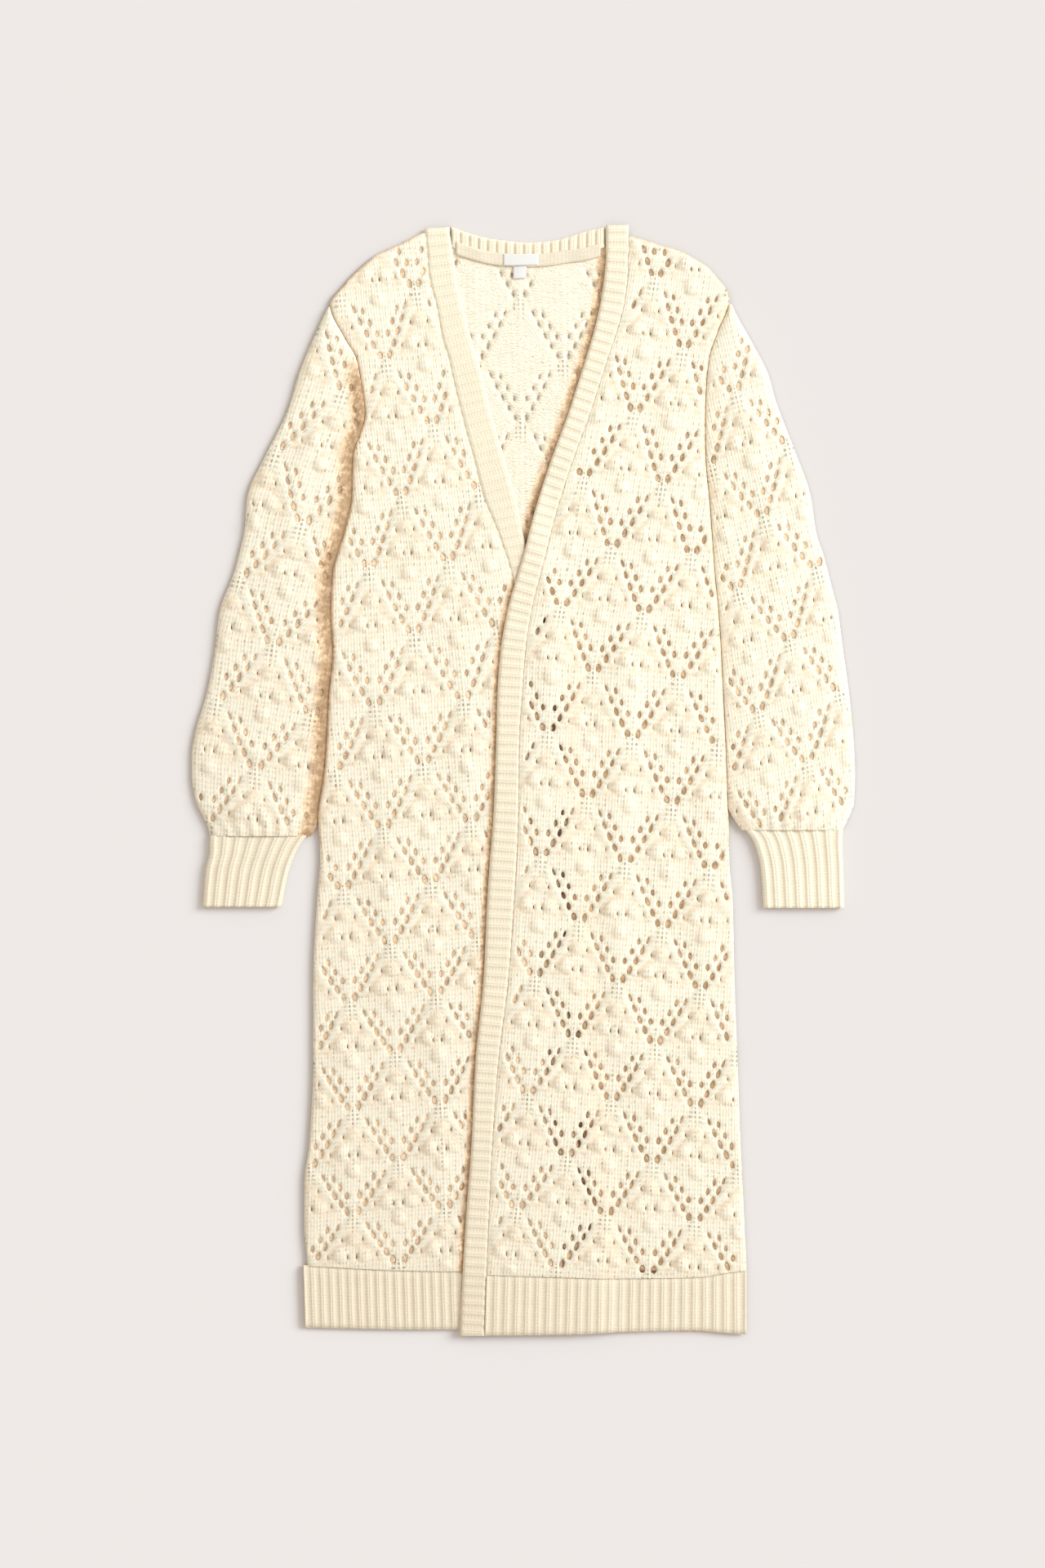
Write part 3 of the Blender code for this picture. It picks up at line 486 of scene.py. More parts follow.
class FrontPanel:
    """The lines of one front, which reads its tables as curves."""

    def __init__(self, rows, hem, lace, band):
        self.free = Curve(rows, "free")
        self.seam = Curve(rows, "seam")
        self.side = Curve(rows, "side")
        self.top = float(rows[0].y)
        self.hem_top = Curve(hem, "top", "x")
        self.hem_bottom = Curve(hem, "bottom", "x")
        self.lace = Lace(*lace)
        self.band = band
        self.out = 1.0 if rows[0].side > rows[0].seam else -1.0

    def from_seam(self, x, y):
        return self.out * self.seam.apart(x, y)

    def from_side(self, x, y):
        return -self.out * self.side.apart(x, y)

    def clear(self, x, y):
        sides = np.minimum(self.from_seam(x, y), self.from_side(x, y))
        return np.minimum(sides, y - self.hem_top(x))


LEFT = FrontPanel(LEFT_FRONT, LEFT_HEM, LEFT_FRONT_LACE, LEFT_BAND)
RIGHT = FrontPanel(RIGHT_FRONT, RIGHT_HEM, RIGHT_FRONT_LACE, RIGHT_BAND)


def fold_height(panel, folds, x, y):
    """Height of a panel's creases, faded out towards its edges."""
    return ease(panel.clear(x, y) / 14.0) * creases(x, y, folds)


def right_base(x, y):
    hidden = ease(1.0 - (LEFT.free(y) - x) / WAVE_FADE)
    tucked = ease((x - LEFT.free(y)) / 8.0)
    between = np.minimum(x - LEFT.free(y) - 24.0, RIGHT.free(y) - 23.0 - x)
    lifted = ease(between / 8.0) * (1.0 + fold_height(LEFT, LEFT_CREASES, x, y))
    return FRONT_BASE + wave(x, y) * (1.0 - hidden) + tucked + lifted


def left_base(x, y):
    beyond = x - RIGHT.free(y) - OVERLAP_LEDGE
    lift = 1.0 - ease(beyond / OVERLAP_SLOPE)
    return FRONT_BASE + OVERLAP_LIFT * lift + wave(x, y) * (1.0 - lift)


def under_fronts(x, y):
    """How far the back rises under the fronts, whose waves and creases it follows."""
    from_left = np.maximum(LEFT.free(y) - x, x - LEFT.free(y) - BAND_WIDTH)
    from_right = np.maximum(RIGHT.free(y) - x - BAND_WIDTH, x - RIGHT.free(y))
    rise = ease((np.minimum(from_left, from_right) - 1.0) / 10.0)
    under_right = fold_height(RIGHT, RIGHT_CREASES, x, y) + wave(x, y)
    under_left = fold_height(LEFT, LEFT_CREASES, x, y) + left_base(x, y) - FRONT_BASE
    shown_right = ease((LEFT.free(y) - x) / WAVE_FADE)
    shown_left = ease((x - RIGHT.free(y) - 1.0) / 8.0)
    folds = np.where(x > RIGHT.free(y), shown_left * under_left, shown_right * under_right)
    return rise + folds


# Meshes


def resample(points, step):
    """Even points along an open line."""
    points = np.asarray(points, float)
    lengths = np.hypot(*np.diff(points, axis=0).T)
    marks = np.concatenate([[0.0], np.cumsum(lengths)])
    places = np.linspace(0.0, marks[-1], max(1, round(marks[-1] / step)) + 1)
    return np.column_stack([np.interp(places, marks, points[:, k]) for k in (0, 1)])


def line(curve, start, end, step=0.5):
    """Points along a curve that gives X for each Y."""
    y = np.linspace(start, end, max(2, int(abs(end - start) / step)))
    return np.column_stack([curve(y), y])


def closed_outline(*stretches):
    """One anticlockwise outline from open stretches that follow each other."""
    parts = [resample(stretch, size("knit_step"))[:-1] for stretch in stretches]
    outline = np.vstack(parts)
    x, y = outline.T
    area = np.sum(x * np.roll(y, -1) - np.roll(x, -1) * y)
    return outline if area > 0.0 else outline[::-1]


def inset(outline, distance):
    """The outline's points moved inwards."""
    along = np.roll(outline, -1, axis=0) - np.roll(outline, 1, axis=0)
    along = along / np.hypot(*along.T)[:, None]
    return outline + distance * np.column_stack([-along[:, 1], along[:, 0]])


def opening_ring(centre, opening, grow=0.0, corners=10):
    """Corners of a teardrop opening, anticlockwise and wider at its foot."""
    angle = 2.0 * math.pi * (np.arange(corners) + 0.5) / corners
    lean = math.radians(opening.lean)
    wide = (0.5 * opening.width + grow) * np.cos(angle) * (1.0 - 0.14 * np.sin(angle))
    tall = (0.5 * opening.height + grow) * np.sin(angle)
    x = centre[0] + wide * math.cos(lean) + tall * math.sin(lean)
    y = centre[1] - wide * math.sin(lean) + tall * math.cos(lean)
    return np.column_stack([x, y])


def lattice_places(lace, motif, fits):
    """Places of a motif on every V, each with the motif's item and its side of the V."""
    found = []
    for column in COLUMNS:
        for step in range(-1, int(lace.last_row) + 2):
            foot = step + 0.5 * (column % 2)
            for item in motif:
                sides = (-1.0, 1.0) if isinstance(item, Opening) else (1.0,)
                for side in sides:
                    at = column + 2.0 * side * item.across
                    x, y = lace.point(at, foot - item.up)
                    if fits(x, y):
                        found.append(((float(x), float(y)), item, side))
    return found


def openings_of(lace, fits, rng, motif):
    """Openings in the lace, each a little different from the next, with yarn between all."""
    found, corners = [], np.empty((0, 2))
    for centre, item, side in lattice_places(lace, motif, fits):
        lean = side * item.lean + rng.uniform(-4.0, 4.0)
        wide, tall = rng.uniform(0.88, 1.08, 2)
        tall = tall * min(1.0, lace.drop / 128.0)
        for scale in (1.0, 0.85, 0.72):
            shape = item._replace(
                width=item.width * wide * scale, height=item.height * tall * scale, lean=lean,
            )
            ring = opening_ring(centre, shape, 0.3)
            gap = np.linalg.norm(corners[:, None] - ring[None], axis=2)
            if not gap.size or gap.min() > 1.5:
                found.append((centre, shape))
                corners = np.vstack([corners, ring])
                break
    return found


def bobbles_of(lace, fits, rng):
    """Bobbles on the lace, each a little different from the next."""
    found = []
    for (x, y), _, _ in lattice_places(lace, BOBBLES, fits):
        shift = rng.uniform(-0.7, 0.7, 2)
        scale = rng.uniform(0.92, 1.06)
        height = size("bobble_height") * rng.uniform(0.8, 1.1)
        radius = size("bobble_radius") * scale
        # The last number scales the painted shade round the bobble
        found.append(Dome(x + shift[0], y + shift[1], radius, height, rng.uniform(0.4, 1.5)))
    return found


def triangular_grid(low, high, step):
    """Points of even triangles over a box."""
    rows = np.arange(low[1], high[1], step * math.sqrt(0.75))
    columns = np.arange(low[0], high[0], step)
    x, y = np.meshgrid(columns, rows)
    x = x + 0.5 * step * (np.arange(len(rows)) % 2)[:, None]
    return np.column_stack([x.ravel(), y.ravel()])


def keep_clear(points, taken, gap, openings, grow, share):
    """A tree of the points, and which of them keep clear of those taken and of the openings."""
    tree = KDTree(len(points))
    for index, (x, y) in enumerate(points):
        tree.insert((x, y, 0.0), index)
    tree.balance()
    keep = np.ones(len(points), bool)
    for x, y in taken:
        for _, index, _ in tree.find_range((x, y, 0.0), gap):
            keep[index] = False
    for centre, opening in openings:
        reach = 0.5 * max(opening.width, opening.height) + grow
        for _, index, _ in tree.find_range((*centre, 0.0), reach):
            out = points[index] - centre
            if np.hypot(out[0] / opening.width, out[1] / opening.height) < share:
                keep[index] = False
    return tree, keep


def free_points(grid, taken, openings, step):
    """The grid's points that keep clear of points already taken and of the openings."""
    return grid[keep_clear(grid, taken, 0.62 * step, openings, 0.0, 0.6)[1]]


def thin_out(points, fixed, openings, gap):
    """Points that keep a gap from the fixed ones, from each other and from the openings."""
    tree, keep = keep_clear(points, fixed, gap, openings, 0.5, 0.56)
    for index, (x, y) in enumerate(points):
        if keep[index]:
            for _, other, _ in tree.find_range((x, y, 0.0), gap):
                if other > index:
                    keep[other] = False
    return points[keep]


def triangles_over(flat, loops):
    """Anticlockwise triangles inside the first loop and outside the others."""
    edges = []
    hole = np.full(len(flat), -1)
    for number, loop in enumerate(loops):
        edges += [(int(a), int(b)) for a, b in zip(loop, np.roll(loop, -1))]
        if number:
            hole[loop] = number
    result = delaunay_2d_cdt([Vector(point) for point in flat.tolist()], edges, [], 1, 1e-4)
    origin = np.array([source[0] for source in result[3]])
    faces = origin[np.array(result[2])]
    in_hole = (hole[faces] > 0).all(1) & (np.ptp(hole[faces], axis=1) == 0)
    faces = faces[~in_hole]
    a, b, c = (flat[faces[:, k]] for k in range(3))
    turn = (b - a)[:, 0] * (c - a)[:, 1] - (b - a)[:, 1] * (c - a)[:, 0]
    faces[turn < 0.0] = faces[turn < 0.0][:, ::-1]
    return faces


def wall_quads(loop, beyond):
    """Faces between a loop of points and the like loop that stands beyond it in the list."""
    after = np.roll(loop, -1)
    return np.column_stack([loop + beyond, after + beyond, after, loop])


def knit_shell(outline, top, bottom, inside, lace, openings, domes, hollow, fine,
               taper=EYELET_TAPER, foot_shade=HOLE_SHADE):
    """A closed wall between two surfaces, cut by openings and finer where its form is."""
    step, plain = size("knit_step"), size("plain_step")
    rings = [opening_ring(*opening) for opening in openings]
    feet = []
    for ring, (_, shape) in zip(rings, openings):
        narrow = taper if shape.width > SLIT_WIDTH else SLIT_TAPER
        feet.append(ring.mean(0) + narrow * (ring - ring.mean(0)))
    fixed = np.vstack([outline] + rings)
    ends = np.cumsum([len(loop) for loop in [outline] + rings])
    loops = np.split(np.arange(len(fixed)), ends[:-1])
    extra = [inset(outline, 1.2), inset(outline, 3.0)]
    extra += [opening_ring(centre, shape, 1.3) for centre, shape in openings]
    for dome in domes:
        for share, corners in ((1.06, 20), (0.9, 17), (0.64, 12), (0.33, 6)):
            angle = 2.0 * math.pi * (np.arange(corners) + 0.5 * share) / corners
            ring = np.column_stack([np.cos(angle), np.sin(angle)]) * share * dome.radius
            extra.append(ring + (dome.x, dome.y))
    extra = np.vstack(extra)
    extra = extra[inside(*extra.T) > 0.9]
    extra = thin_out(extra, fixed, openings, 0.42 * step)
    low, high = outline.min(0), outline.max(0)
    grid = triangular_grid(low, high, step)
    grid = grid[(inside(*grid.T) > 0.5 * step) & fine(*grid.T)]
    coarse = triangular_grid(low, high, plain)
    rough = coarse[(inside(*coarse.T) > 0.5 * plain) & ~fine(*coarse.T)]
    grid = np.vstack([grid, rough])
    upper = np.vstack([fixed, extra, free_points(grid, np.vstack([fixed, extra]), openings, step)])
    coarse = coarse[inside(*coarse.T) > 0.4 * plain]
    inner = inset(outline, 3.0)[::2]
    inner = thin_out(inner[inside(*inner.T) > 1.5], fixed, openings, 0.5 * step)
    held = np.vstack([outline] + feet + [inner])
    lower = np.vstack([held, free_points(coarse, held, openings, 0.6 * plain)])
    upper_faces = triangles_over(upper, loops)
    lower_faces = triangles_over(lower, loops)[:, ::-1] + len(upper)
    heights = top(*upper.T)
    heights[len(outline):len(fixed)] -= size("lip")
    depths = bottom(*lower.T)
    points = np.vstack([np.column_stack([upper, heights]), np.column_stack([lower, depths])])
    faces = upper_faces.tolist() + lower_faces.tolist()
    for number, loop in enumerate(loops):
        sides = wall_quads(loop, len(upper))
        faces += (sides[:, ::-1] if number else sides).tolist()
    # Painted shade of each point: one value for the lower side, the given shade above, a little more on
    # the rims of the openings, and a fixed value at the foot of the outline
    shade = np.full(len(points), foot_shade)
    shade[:len(upper)] = hollow(*upper.T)
    rim = slice(len(outline), len(fixed))
    shade[rim] = np.maximum(shade[rim], EYELET_RIM_SHADE)
    shade[len(upper):len(upper) + len(outline)] = PANEL_FOOT_SHADE
    pattern = np.column_stack(lace.pattern(*points[:, :2].T))
    return Shell(points, faces, pattern, shade)


def side_by_side(*parts):
    """A grid of places from its numbers, each a row, a column or a whole grid."""
    return np.dstack(np.broadcast_arrays(*parts))


def shell_of(points, faces, pattern, hollow, shape, far_shade):
    """A shell whose near and far side share a pattern, and whose far side has one painted shade."""
    pattern = np.vstack([pattern.reshape(-1, 2)] * 2)
    shade = np.broadcast_to(hollow, shape).ravel()
    shade = np.concatenate([shade, np.full(len(shade), far_shade)])
    return Shell(points, faces.tolist(), pattern, shade)


def strip_shell(plan, top, bottom, pattern, hollow):
    """A closed wall over a grid of places, given as rows by columns."""
    rows, columns = top.shape
    number = rows * columns
    index = np.arange(number).reshape(rows, columns)
    quads = np.stack([index[:-1, :-1], index[1:, :-1], index[1:, 1:], index[:-1, 1:]], -1)
    quads = quads.reshape(-1, 4)
    rim = np.concatenate([index[:, 0], index[-1, 1:], index[-2::-1, -1], index[0, -2:0:-1]])
    faces = np.vstack([quads, quads[:, ::-1] + number, wall_quads(rim, number)])
    across = plan[0, -1] - plan[0, 0]
    along = plan[-1, 0] - plan[0, 0]
    if along[0] * across[1] - along[1] * across[0] < 0.0:
        faces = faces[:, ::-1]
    flat = plan.reshape(-1, 2)
    heights = [top, np.broadcast_to(bottom, top.shape)]
    points = np.vstack([np.column_stack([flat, height.ravel()]) for height in heights])
    return shell_of(points, faces, pattern, hollow, top.shape, STRIP_FOOT_SHADE)


def tube_shell(outer, inner, pattern, hollow):
    """A closed wall round a tube that is open at both ends, from loops at each station."""
    stations, corners = outer.shape[:2]
    index = np.arange(stations * corners).reshape(stations, corners)
    after = np.roll(index, -1, axis=1)
    quads = np.stack([index[:-1], after[:-1], after[1:], index[1:]], -1).reshape(-1, 4)
    number = stations * corners
    faces = [quads[:, ::-1], quads + number]
    for row, flip in ((0, False), (-1, True)):
        cap = np.column_stack([index[row], after[row], after[row] + number, index[row] + number])
        faces.append(cap[:, ::-1] if flip else cap)
    faces = np.vstack(faces)
    points = np.vstack([outer.reshape(-1, 3), inner.reshape(-1, 3)])
    return shell_of(points, faces, pattern, hollow, (stations, corners), TUBE_INSIDE_SHADE)


# Finishes


def reckoning(operation, swapped=False):
    """A method that adds one Math node, with the number itself as its second term if swapped."""

    def reckon(number, *others):
        terms = (*others, number) if swapped else (number, *others)
        settings = {"operation": operation}
        return number.finish.number("ShaderNodeMath", settings, dict(enumerate(terms)))

    return reckon


class Number:
    """A socket that carries a number, so that shader maths reads as sums."""

    def __init__(self, finish, socket):
        self.finish = finish
        self.socket = socket

    __add__ = __radd__ = reckoning("ADD")
    __sub__ = reckoning("SUBTRACT")
    __rsub__ = reckoning("SUBTRACT", swapped=True)
    __mul__ = __rmul__ = reckoning("MULTIPLY")
    __lt__ = reckoning("LESS_THAN")
    __gt__ = reckoning("GREATER_THAN")
    __abs__ = reckoning("ABSOLUTE")
    fraction = reckoning("FRACT")
    floor = reckoning("FLOOR")
    root = reckoning("SQRT")

    def from_middle(self):
        """Distance from the middle of each whole step, up to a half."""
        return abs(self.fraction() - 0.5)

    def arch(self):
        """0 at both ends of a step from 0 to 1, and 1 in its middle."""
        return 4.0 * self * (1.0 - self)

    def smooth(self, low, high):
        """0 at low, 1 at high, with a soft start and end."""
        settings = {"interpolation_type": "SMOOTHSTEP"}
        values = {"Value": self, "From Min": low, "From Max": high}
        return self.finish.number("ShaderNodeMapRange", settings, values)


class Finish:
    """A material under construction, with its shader's nodes."""

    def __init__(self, name, roughness):
        self.material = bpy.data.materials.new(name)
        self.material.use_nodes = True
        self.tree = self.material.node_tree
        self.shader = self.tree.nodes["Principled BSDF"]
        self.shader.inputs["Roughness"].default_value = roughness
        self.shader.inputs["Metallic"].default_value = 0.0

    def node(self, kind, settings=None, values=None):
        """A node of a kind, its settings made first and then its sockets filled or linked."""
        node = self.tree.nodes.new(kind)
        for name, value in (settings or {}).items():
            setattr(node, name, value)
        for name, value in (values or {}).items():
            value = value.socket if isinstance(value, Number) else value
            if isinstance(value, bpy.types.NodeSocket):
                self.tree.links.new(value, node.inputs[name])
            else:
                node.inputs[name].default_value = value
        return node

    def number(self, kind, settings, values, output=0):
        """The number that a node of a kind gives."""
        return Number(self, self.node(kind, settings, values).outputs[output])

    def pattern(self):
        """The two numbers of the pattern map."""
        return self.parts(self.node("ShaderNodeUVMap", {"uv_map": "pattern"}).outputs[0])

    def parts(self, place):
        """The first two numbers of a place."""
        outputs = self.node("ShaderNodeSeparateXYZ", None, {0: place}).outputs
        return Number(self, outputs[0]), Number(self, outputs[1])

    def hollow(self):
        """Painted shade of a point, from 0 where it is lit, rising where it lies deep in the cloth."""
        return self.number("ShaderNodeAttribute", {"attribute_name": "hollow"}, None, "Fac")

    def noise(self, scale, detail=2.0):
        """Soft noise from about 0 to 1 over the piece's own place."""
        place = self.node("ShaderNodeTexCoord").outputs["Object"]
        values = {"Vector": place, "Scale": scale, "Detail": detail}
        return self.number("ShaderNodeTexNoise", None, values)

    def streaks(self, across, along):
        """Noise from about 0 to 1 over two numbers, as fine strands lie in the yarn."""
        place = self.node("ShaderNodeCombineXYZ", None, {0: across, 1: along}).outputs[0]
        values = {"Vector": place, "Scale": 1.0, "Detail": 2.0}
        return self.number("ShaderNodeTexNoise", {"noise_dimensions": "2D"}, values)

    def chance(self, first, second):
        """A number from 0 to 1 that differs for each pair of whole numbers."""
        place = self.node("ShaderNodeCombineXYZ", None, {0: first, 1: second}).outputs[0]
        settings = {"noise_dimensions": "2D"}
        return self.number("ShaderNodeTexWhiteNoise", settings, {"Vector": place}, "Value")

    def blend(self, share, first, second):
        """A colour between two, each a colour or a socket."""
        pair = [(*item, 1.0) if isinstance(item, tuple) else item for item in (first, second)]
        settings = {"data_type": "RGBA", "clamp_factor": True}
        return self.node("ShaderNodeMix", settings, {0: share, 6: pair[0], 7: pair[1]}).outputs[2]

    def bump(self, height, distance, strength=1.0):
        """Bumps the shader by a height, over a distance in metres."""
        values = {"Height": height, "Distance": distance, "Strength": strength}
        node = self.node("ShaderNodeBump", None, values)
        self.tree.links.new(node.outputs[0], self.shader.inputs["Normal"])

    def paint(self, socket):
        """Gives the shader its colour, which completes the material."""
        self.tree.links.new(socket, self.shader.inputs["Base Color"])
        return self.material


def wool_shader(name):
    """The start of every knit finish: matt, with the faint sheen of wool."""
    finish = Finish(name, 0.9)
    finish.shader.inputs["Sheen Weight"].default_value = 0.15
    finish.shader.inputs["Sheen Roughness"].default_value = 0.5
    finish.shader.inputs["Specular IOR Level"].default_value = 0.25
    return finish


def place_in_repeat(finish, across, up):
    """Distance from the middle of a point's own diamond, and height over its foot."""
    a = (across + 0.5).from_middle()
    b = up.fraction()
    own = (a + abs(b - 0.5)) < 0.5
    a = own * a + (1.0 - own) * (0.5 - a)
    b = own * b + (1.0 - own) * (b + 0.5).fraction()
    return a, b


def paint_light_falloff(finish, tone):
    """The tone with painted shade, a little greyer towards the right sleeve and the hem, where the light
    falls off.
    """
    x, y = finish.parts(finish.node("ShaderNodeTexCoord").outputs["Object"])
    share = 0.36 - x - y * 0.75 + y.smooth(-0.48, -0.5) * 0.22
    tint = finish.blend(share, (1.0, 1.0, 1.0), (0.82, 0.79, 0.775))
    settings = {"data_type": "RGBA", "blend_type": "MULTIPLY"}
    return finish.node("ShaderNodeMix", settings, {0: 1.0, 6: tone, 7: tint}).outputs[2]


def paint_deep_shade(finish, tone, fuzz):
    """The tone with painted warm shade where the wool lies deep, and painted brown shadow where it lies
    deepest.
    """
    deep = finish.hollow()
    spots = finish.noise(110.0).smooth(0.35, 0.65)
    warm = finish.blend(spots, colour("hollow", 0.72), colour("hollow", 1.08))
    soft = (deep + (fuzz - 0.5) * deep * 0.8).smooth(-0.15, 1.05)
    tone = finish.blend(soft, tone, warm)
    brown = colour("hollow", (0.47, 0.41, 0.34))
    blot = finish.noise(200.0).smooth(0.35, 0.65)
    return finish.blend((deep + fuzz * 0.4 + blot * 0.6).smooth(1.1, 2.4), tone, brown)


def lace_wool(name, wrong_side=False):
    """Stockinette that slants beside the eyelets, with the ladder of dots under each V; painted shade
    lies between the stitches and in the dots.
    """
    finish = wool_shader(name)
    across, up = finish.pattern()
    a, b = place_in_repeat(finish, across, up)
    edge = 1.0 - a - b
    ladder = (a < 0.077) * (0.78 < b)
    slant = (edge < 0.24) * (0.5 < b) * (1.0 - ladder)
    fuzz = finish.noise(900.0, 3.0)
    cloud = finish.noise(30.0)
    wale = a * WALES + slant * (edge * SLANTED - a * WALES) + (cloud - 0.5) * 0.6
    course = up * COURSES + (cloud - 0.5) * 0.9
    side = wale.from_middle()
    lift = (course + side * 0.9).fraction()
    loop = lift.arch()
    stitch = (1.0 - (side - 0.25) * (side - 0.25) * 14.0) * (0.5 + 0.5 * loop)
    strand = finish.streaks(wale * 3.2 + lift * 0.8, course * 1.3)
    luck = finish.chance((wale + 0.5).floor() + 37.0 * (across * 2.0).floor(), (course + 0.5).floor())
    # Painted shade in the gaps between the stitches and in their cores; the strand streaks next are
    # mottling of the yarn
    gap = side.smooth(0.34 - 0.08 * slant, 0.46) * loop.smooth(0.35, 0.85)
    core = side.smooth(0.15, 0.03) * loop.smooth(0.65, 0.2) * (0.6 + 0.3 * slant)
    grain = finish.noise(140.0).smooth(0.3, 0.7)
    dark = (gap + core) * (0.12 + 0.88 * luck) * (0.15 + 0.6 * grain - 0.1 * slant)
    dark = dark + strand.smooth(0.5, 0.85) * 0.25
    if wrong_side:
        ridge = (course * 1.6 + 0.6 * side + 0.8 * luck + 0.6 * cloud + 0.9 * grain).fraction()
        purl = ridge.arch()
        stitch = 1.8 * purl * (0.4 + side)
        # Painted shade between the purl ridges
        dark = purl.smooth(0.5, 0.1) * (0.25 + 0.9 * luck) * (0.2 + 0.5 * strand)
    # Painted shade in the small holes of the ladder under each V
    rung = (a * (1.0 / 0.051) + 0.5).from_middle() * 4.6
    post = ((1.0 - b) * 26.0 + 0.35).from_middle() * 3.4
    dot = (rung * rung + post * post).root().smooth(1.4, 0.7)
    dot = dot * ladder * b.smooth(0.74, 0.92) * (0.5 + 0.5 * luck)
    tone = finish.blend(cloud, colour("wool"), colour("wool", 0.97))
    tone = paint_deep_shade(finish, tone, fuzz)
    tone = finish.blend(dark * (0.4 + 1.2 * fuzz), tone, colour("stitch_shade"))
    tone = paint_light_falloff(finish, finish.blend(dot * 0.8, tone, colour("stitch_shade")))
    finish.bump(stitch + strand * 0.4 + fuzz * 0.3 - dot, 0.0008, 0.38)
    return finish.paint(tone)


def wrong_side_wool(name):
    """The purl side of the lace."""
    return lace_wool(name, wrong_side=True)


def rib_wool(name):
    """Two knit and two purl wales in turn: the map counts ribs, and millimetres along them."""
    finish = wool_shader(name)
    ribs, along = finish.pattern()
    fuzz = finish.noise(900.0, 3.0)
    cloud = finish.noise(40.0)
    out = (ribs + (cloud - 0.5) * 0.16).from_middle()
    groove = out.smooth(0.22, 0.34)
    course = along * (1.0 / 3.2) + cloud * 1.5
    wale = abs(out - 0.135)
    lift = (course + wale * 3.0).fraction()
    loop = lift.arch()
    knit = (1.0 - wale * wale * 45.0) * (0.6 + 0.4 * loop)
    purl = course.fraction().arch()
    strand = finish.streaks(out * 22.0, course * 1.6 + ribs.floor() * 7.0)
    luck = finish.chance(ribs.floor(), course.floor())
    height = knit * (1.0 - groove) + purl * groove * 0.5 + strand * 0.6 + fuzz * 0.3
    tone = finish.blend(cloud, colour("rib"), colour("rib", 1.08))
    # Painted shade in the grooves between the ribs
    shade = groove * (0.15 + 0.2 * (1.0 - purl) + 0.8 * strand) * (0.6 + 0.4 * luck)
    tone = finish.blend(shade * 0.65, tone, colour("groove"))
    # Painted shade along the edges of the grooves and in the split between the wales of each rib; the
    # strokes are mottling of the yarn
    rim = abs(out - 0.29).smooth(0.05, 0.0) * (1.0 - loop) * luck * 0.35
    split = out.smooth(0.05, 0.0) * (1.0 - loop) * 0.25
    strokes = strand.smooth(0.5, 0.85) * 0.25
    tone = finish.blend(rim + split + strokes, tone, colour("stitch_shade"))
    finish.bump(height, 0.0007, 0.6)
    return finish.paint(paint_light_falloff(finish, paint_deep_shade(finish, tone, fuzz)))


def jersey(name):
    """Fine plain knit of the neck tape: the map is in millimetres."""
    finish = wool_shader(name)
    along, down = finish.pattern()
    side = (along * (1.0 / 2.1)).from_middle()
    lift = (down * (1.0 / 1.7) + side).fraction()
    loop = lift.arch()
    stitch = (1.0 - (side - 0.24) * (side - 0.24) * 15.0) * (0.5 + 0.5 * loop)
    fuzz = finish.noise(900.0, 3.0)
    wave = finish.streaks(along * 0.09, down * 0.9)
    # Painted shade between the stitches and in the furrows of the wavy lines
    tone = finish.blend(side.smooth(0.32, 0.5) * fuzz * 0.7, colour("tape"), colour("groove"))
    tone = finish.blend(wave.smooth(0.5, 0.7) * 0.5, tone, colour("groove"))
    finish.bump(stitch + fuzz * 0.4 - wave * 2.0, 0.0005, 0.7)
    return finish.paint(paint_deep_shade(finish, tone, fuzz))


def label_weave(name):
    """Smooth white woven tape: the map is in millimetres."""
    finish = Finish(name, 0.62)
    finish.shader.inputs["Sheen Weight"].default_value = 0.1
    along, down = finish.pattern()
    warp = (along * 2.2).from_middle()
    weft = (down * 2.2).from_middle()
    fuzz = finish.noise(1200.0)
    tone = finish.blend(fuzz * 0.25, colour("label"), colour("tape"))
    finish.bump(warp + weft + fuzz * 0.4, 0.0002, 0.5)
    return finish.paint(tone)


def ground(name):
    """Pale matt paper under the cardigan."""
    finish = Finish(name, 0.8)
    speck = finish.noise(3.0, 1.0) * 0.1
    return finish.paint(finish.blend(speck, colour("floor"), colour("floor", 0.97)))


# Pieces


FINISHES = {
    "lace_wool": (lace_wool, "lace_knit"),
    "wrong_side_wool": (wrong_side_wool, "lace_knit"),
    "rib_wool": (rib_wool, "rib_knit"),
    "jersey_tape": (jersey, "neck_tape"),
    "bare_label": (label_weave, "label_weave"),
}


def make_piece(name, shells, finish, nodes, flat, area=None):
    """One sheet of cloth from closed shells, riding on the body and standing for its nodes.

    The finish is a name of FINISHES and flat is the width and length of the cut in millimetres.
    Area, its flat area in square metres where it isn't a rectangle, is not used.
    """
    maker, slot = FINISHES[finish]
    points, faces, patterns, shades = [], [], [], []
    start = 0
    for shell in shells:
        points.append(shell.points)
        faces += [[corner + start for corner in face] for face in shell.faces]
        patterns.append(shell.pattern)
        shades.append(shell.hollow)
        start += len(shell.points)
    mesh = bpy.data.meshes.new(name)
    mesh.from_pydata((np.vstack(points) * MM).tolist(), [], faces)
    corners = np.zeros(len(mesh.loops), np.int32)
    mesh.loops.foreach_get("vertex_index", corners)
    layer = mesh.uv_layers.new(name="pattern")
    layer.data.foreach_set("uv", np.vstack(patterns)[corners].ravel().astype(np.float32))
    # Painted shade of each point, which the finishes read
    shade = mesh.attributes.new("hollow", "FLOAT", "POINT")
    shade.data.foreach_set("value", np.concatenate(shades).astype(np.float32))
    mesh.polygons.foreach_set("use_smooth", np.ones(len(mesh.polygons), bool))
    mesh.materials.append(bpy.data.materials.get(finish) or maker(finish))
    mesh.update()
    piece = bpy.data.objects.new(name, mesh)
    bpy.context.scene.collection.objects.link(piece)
    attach(piece, "root")
    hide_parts(*nodes)
    flat = [float(side) * MM for side in flat]


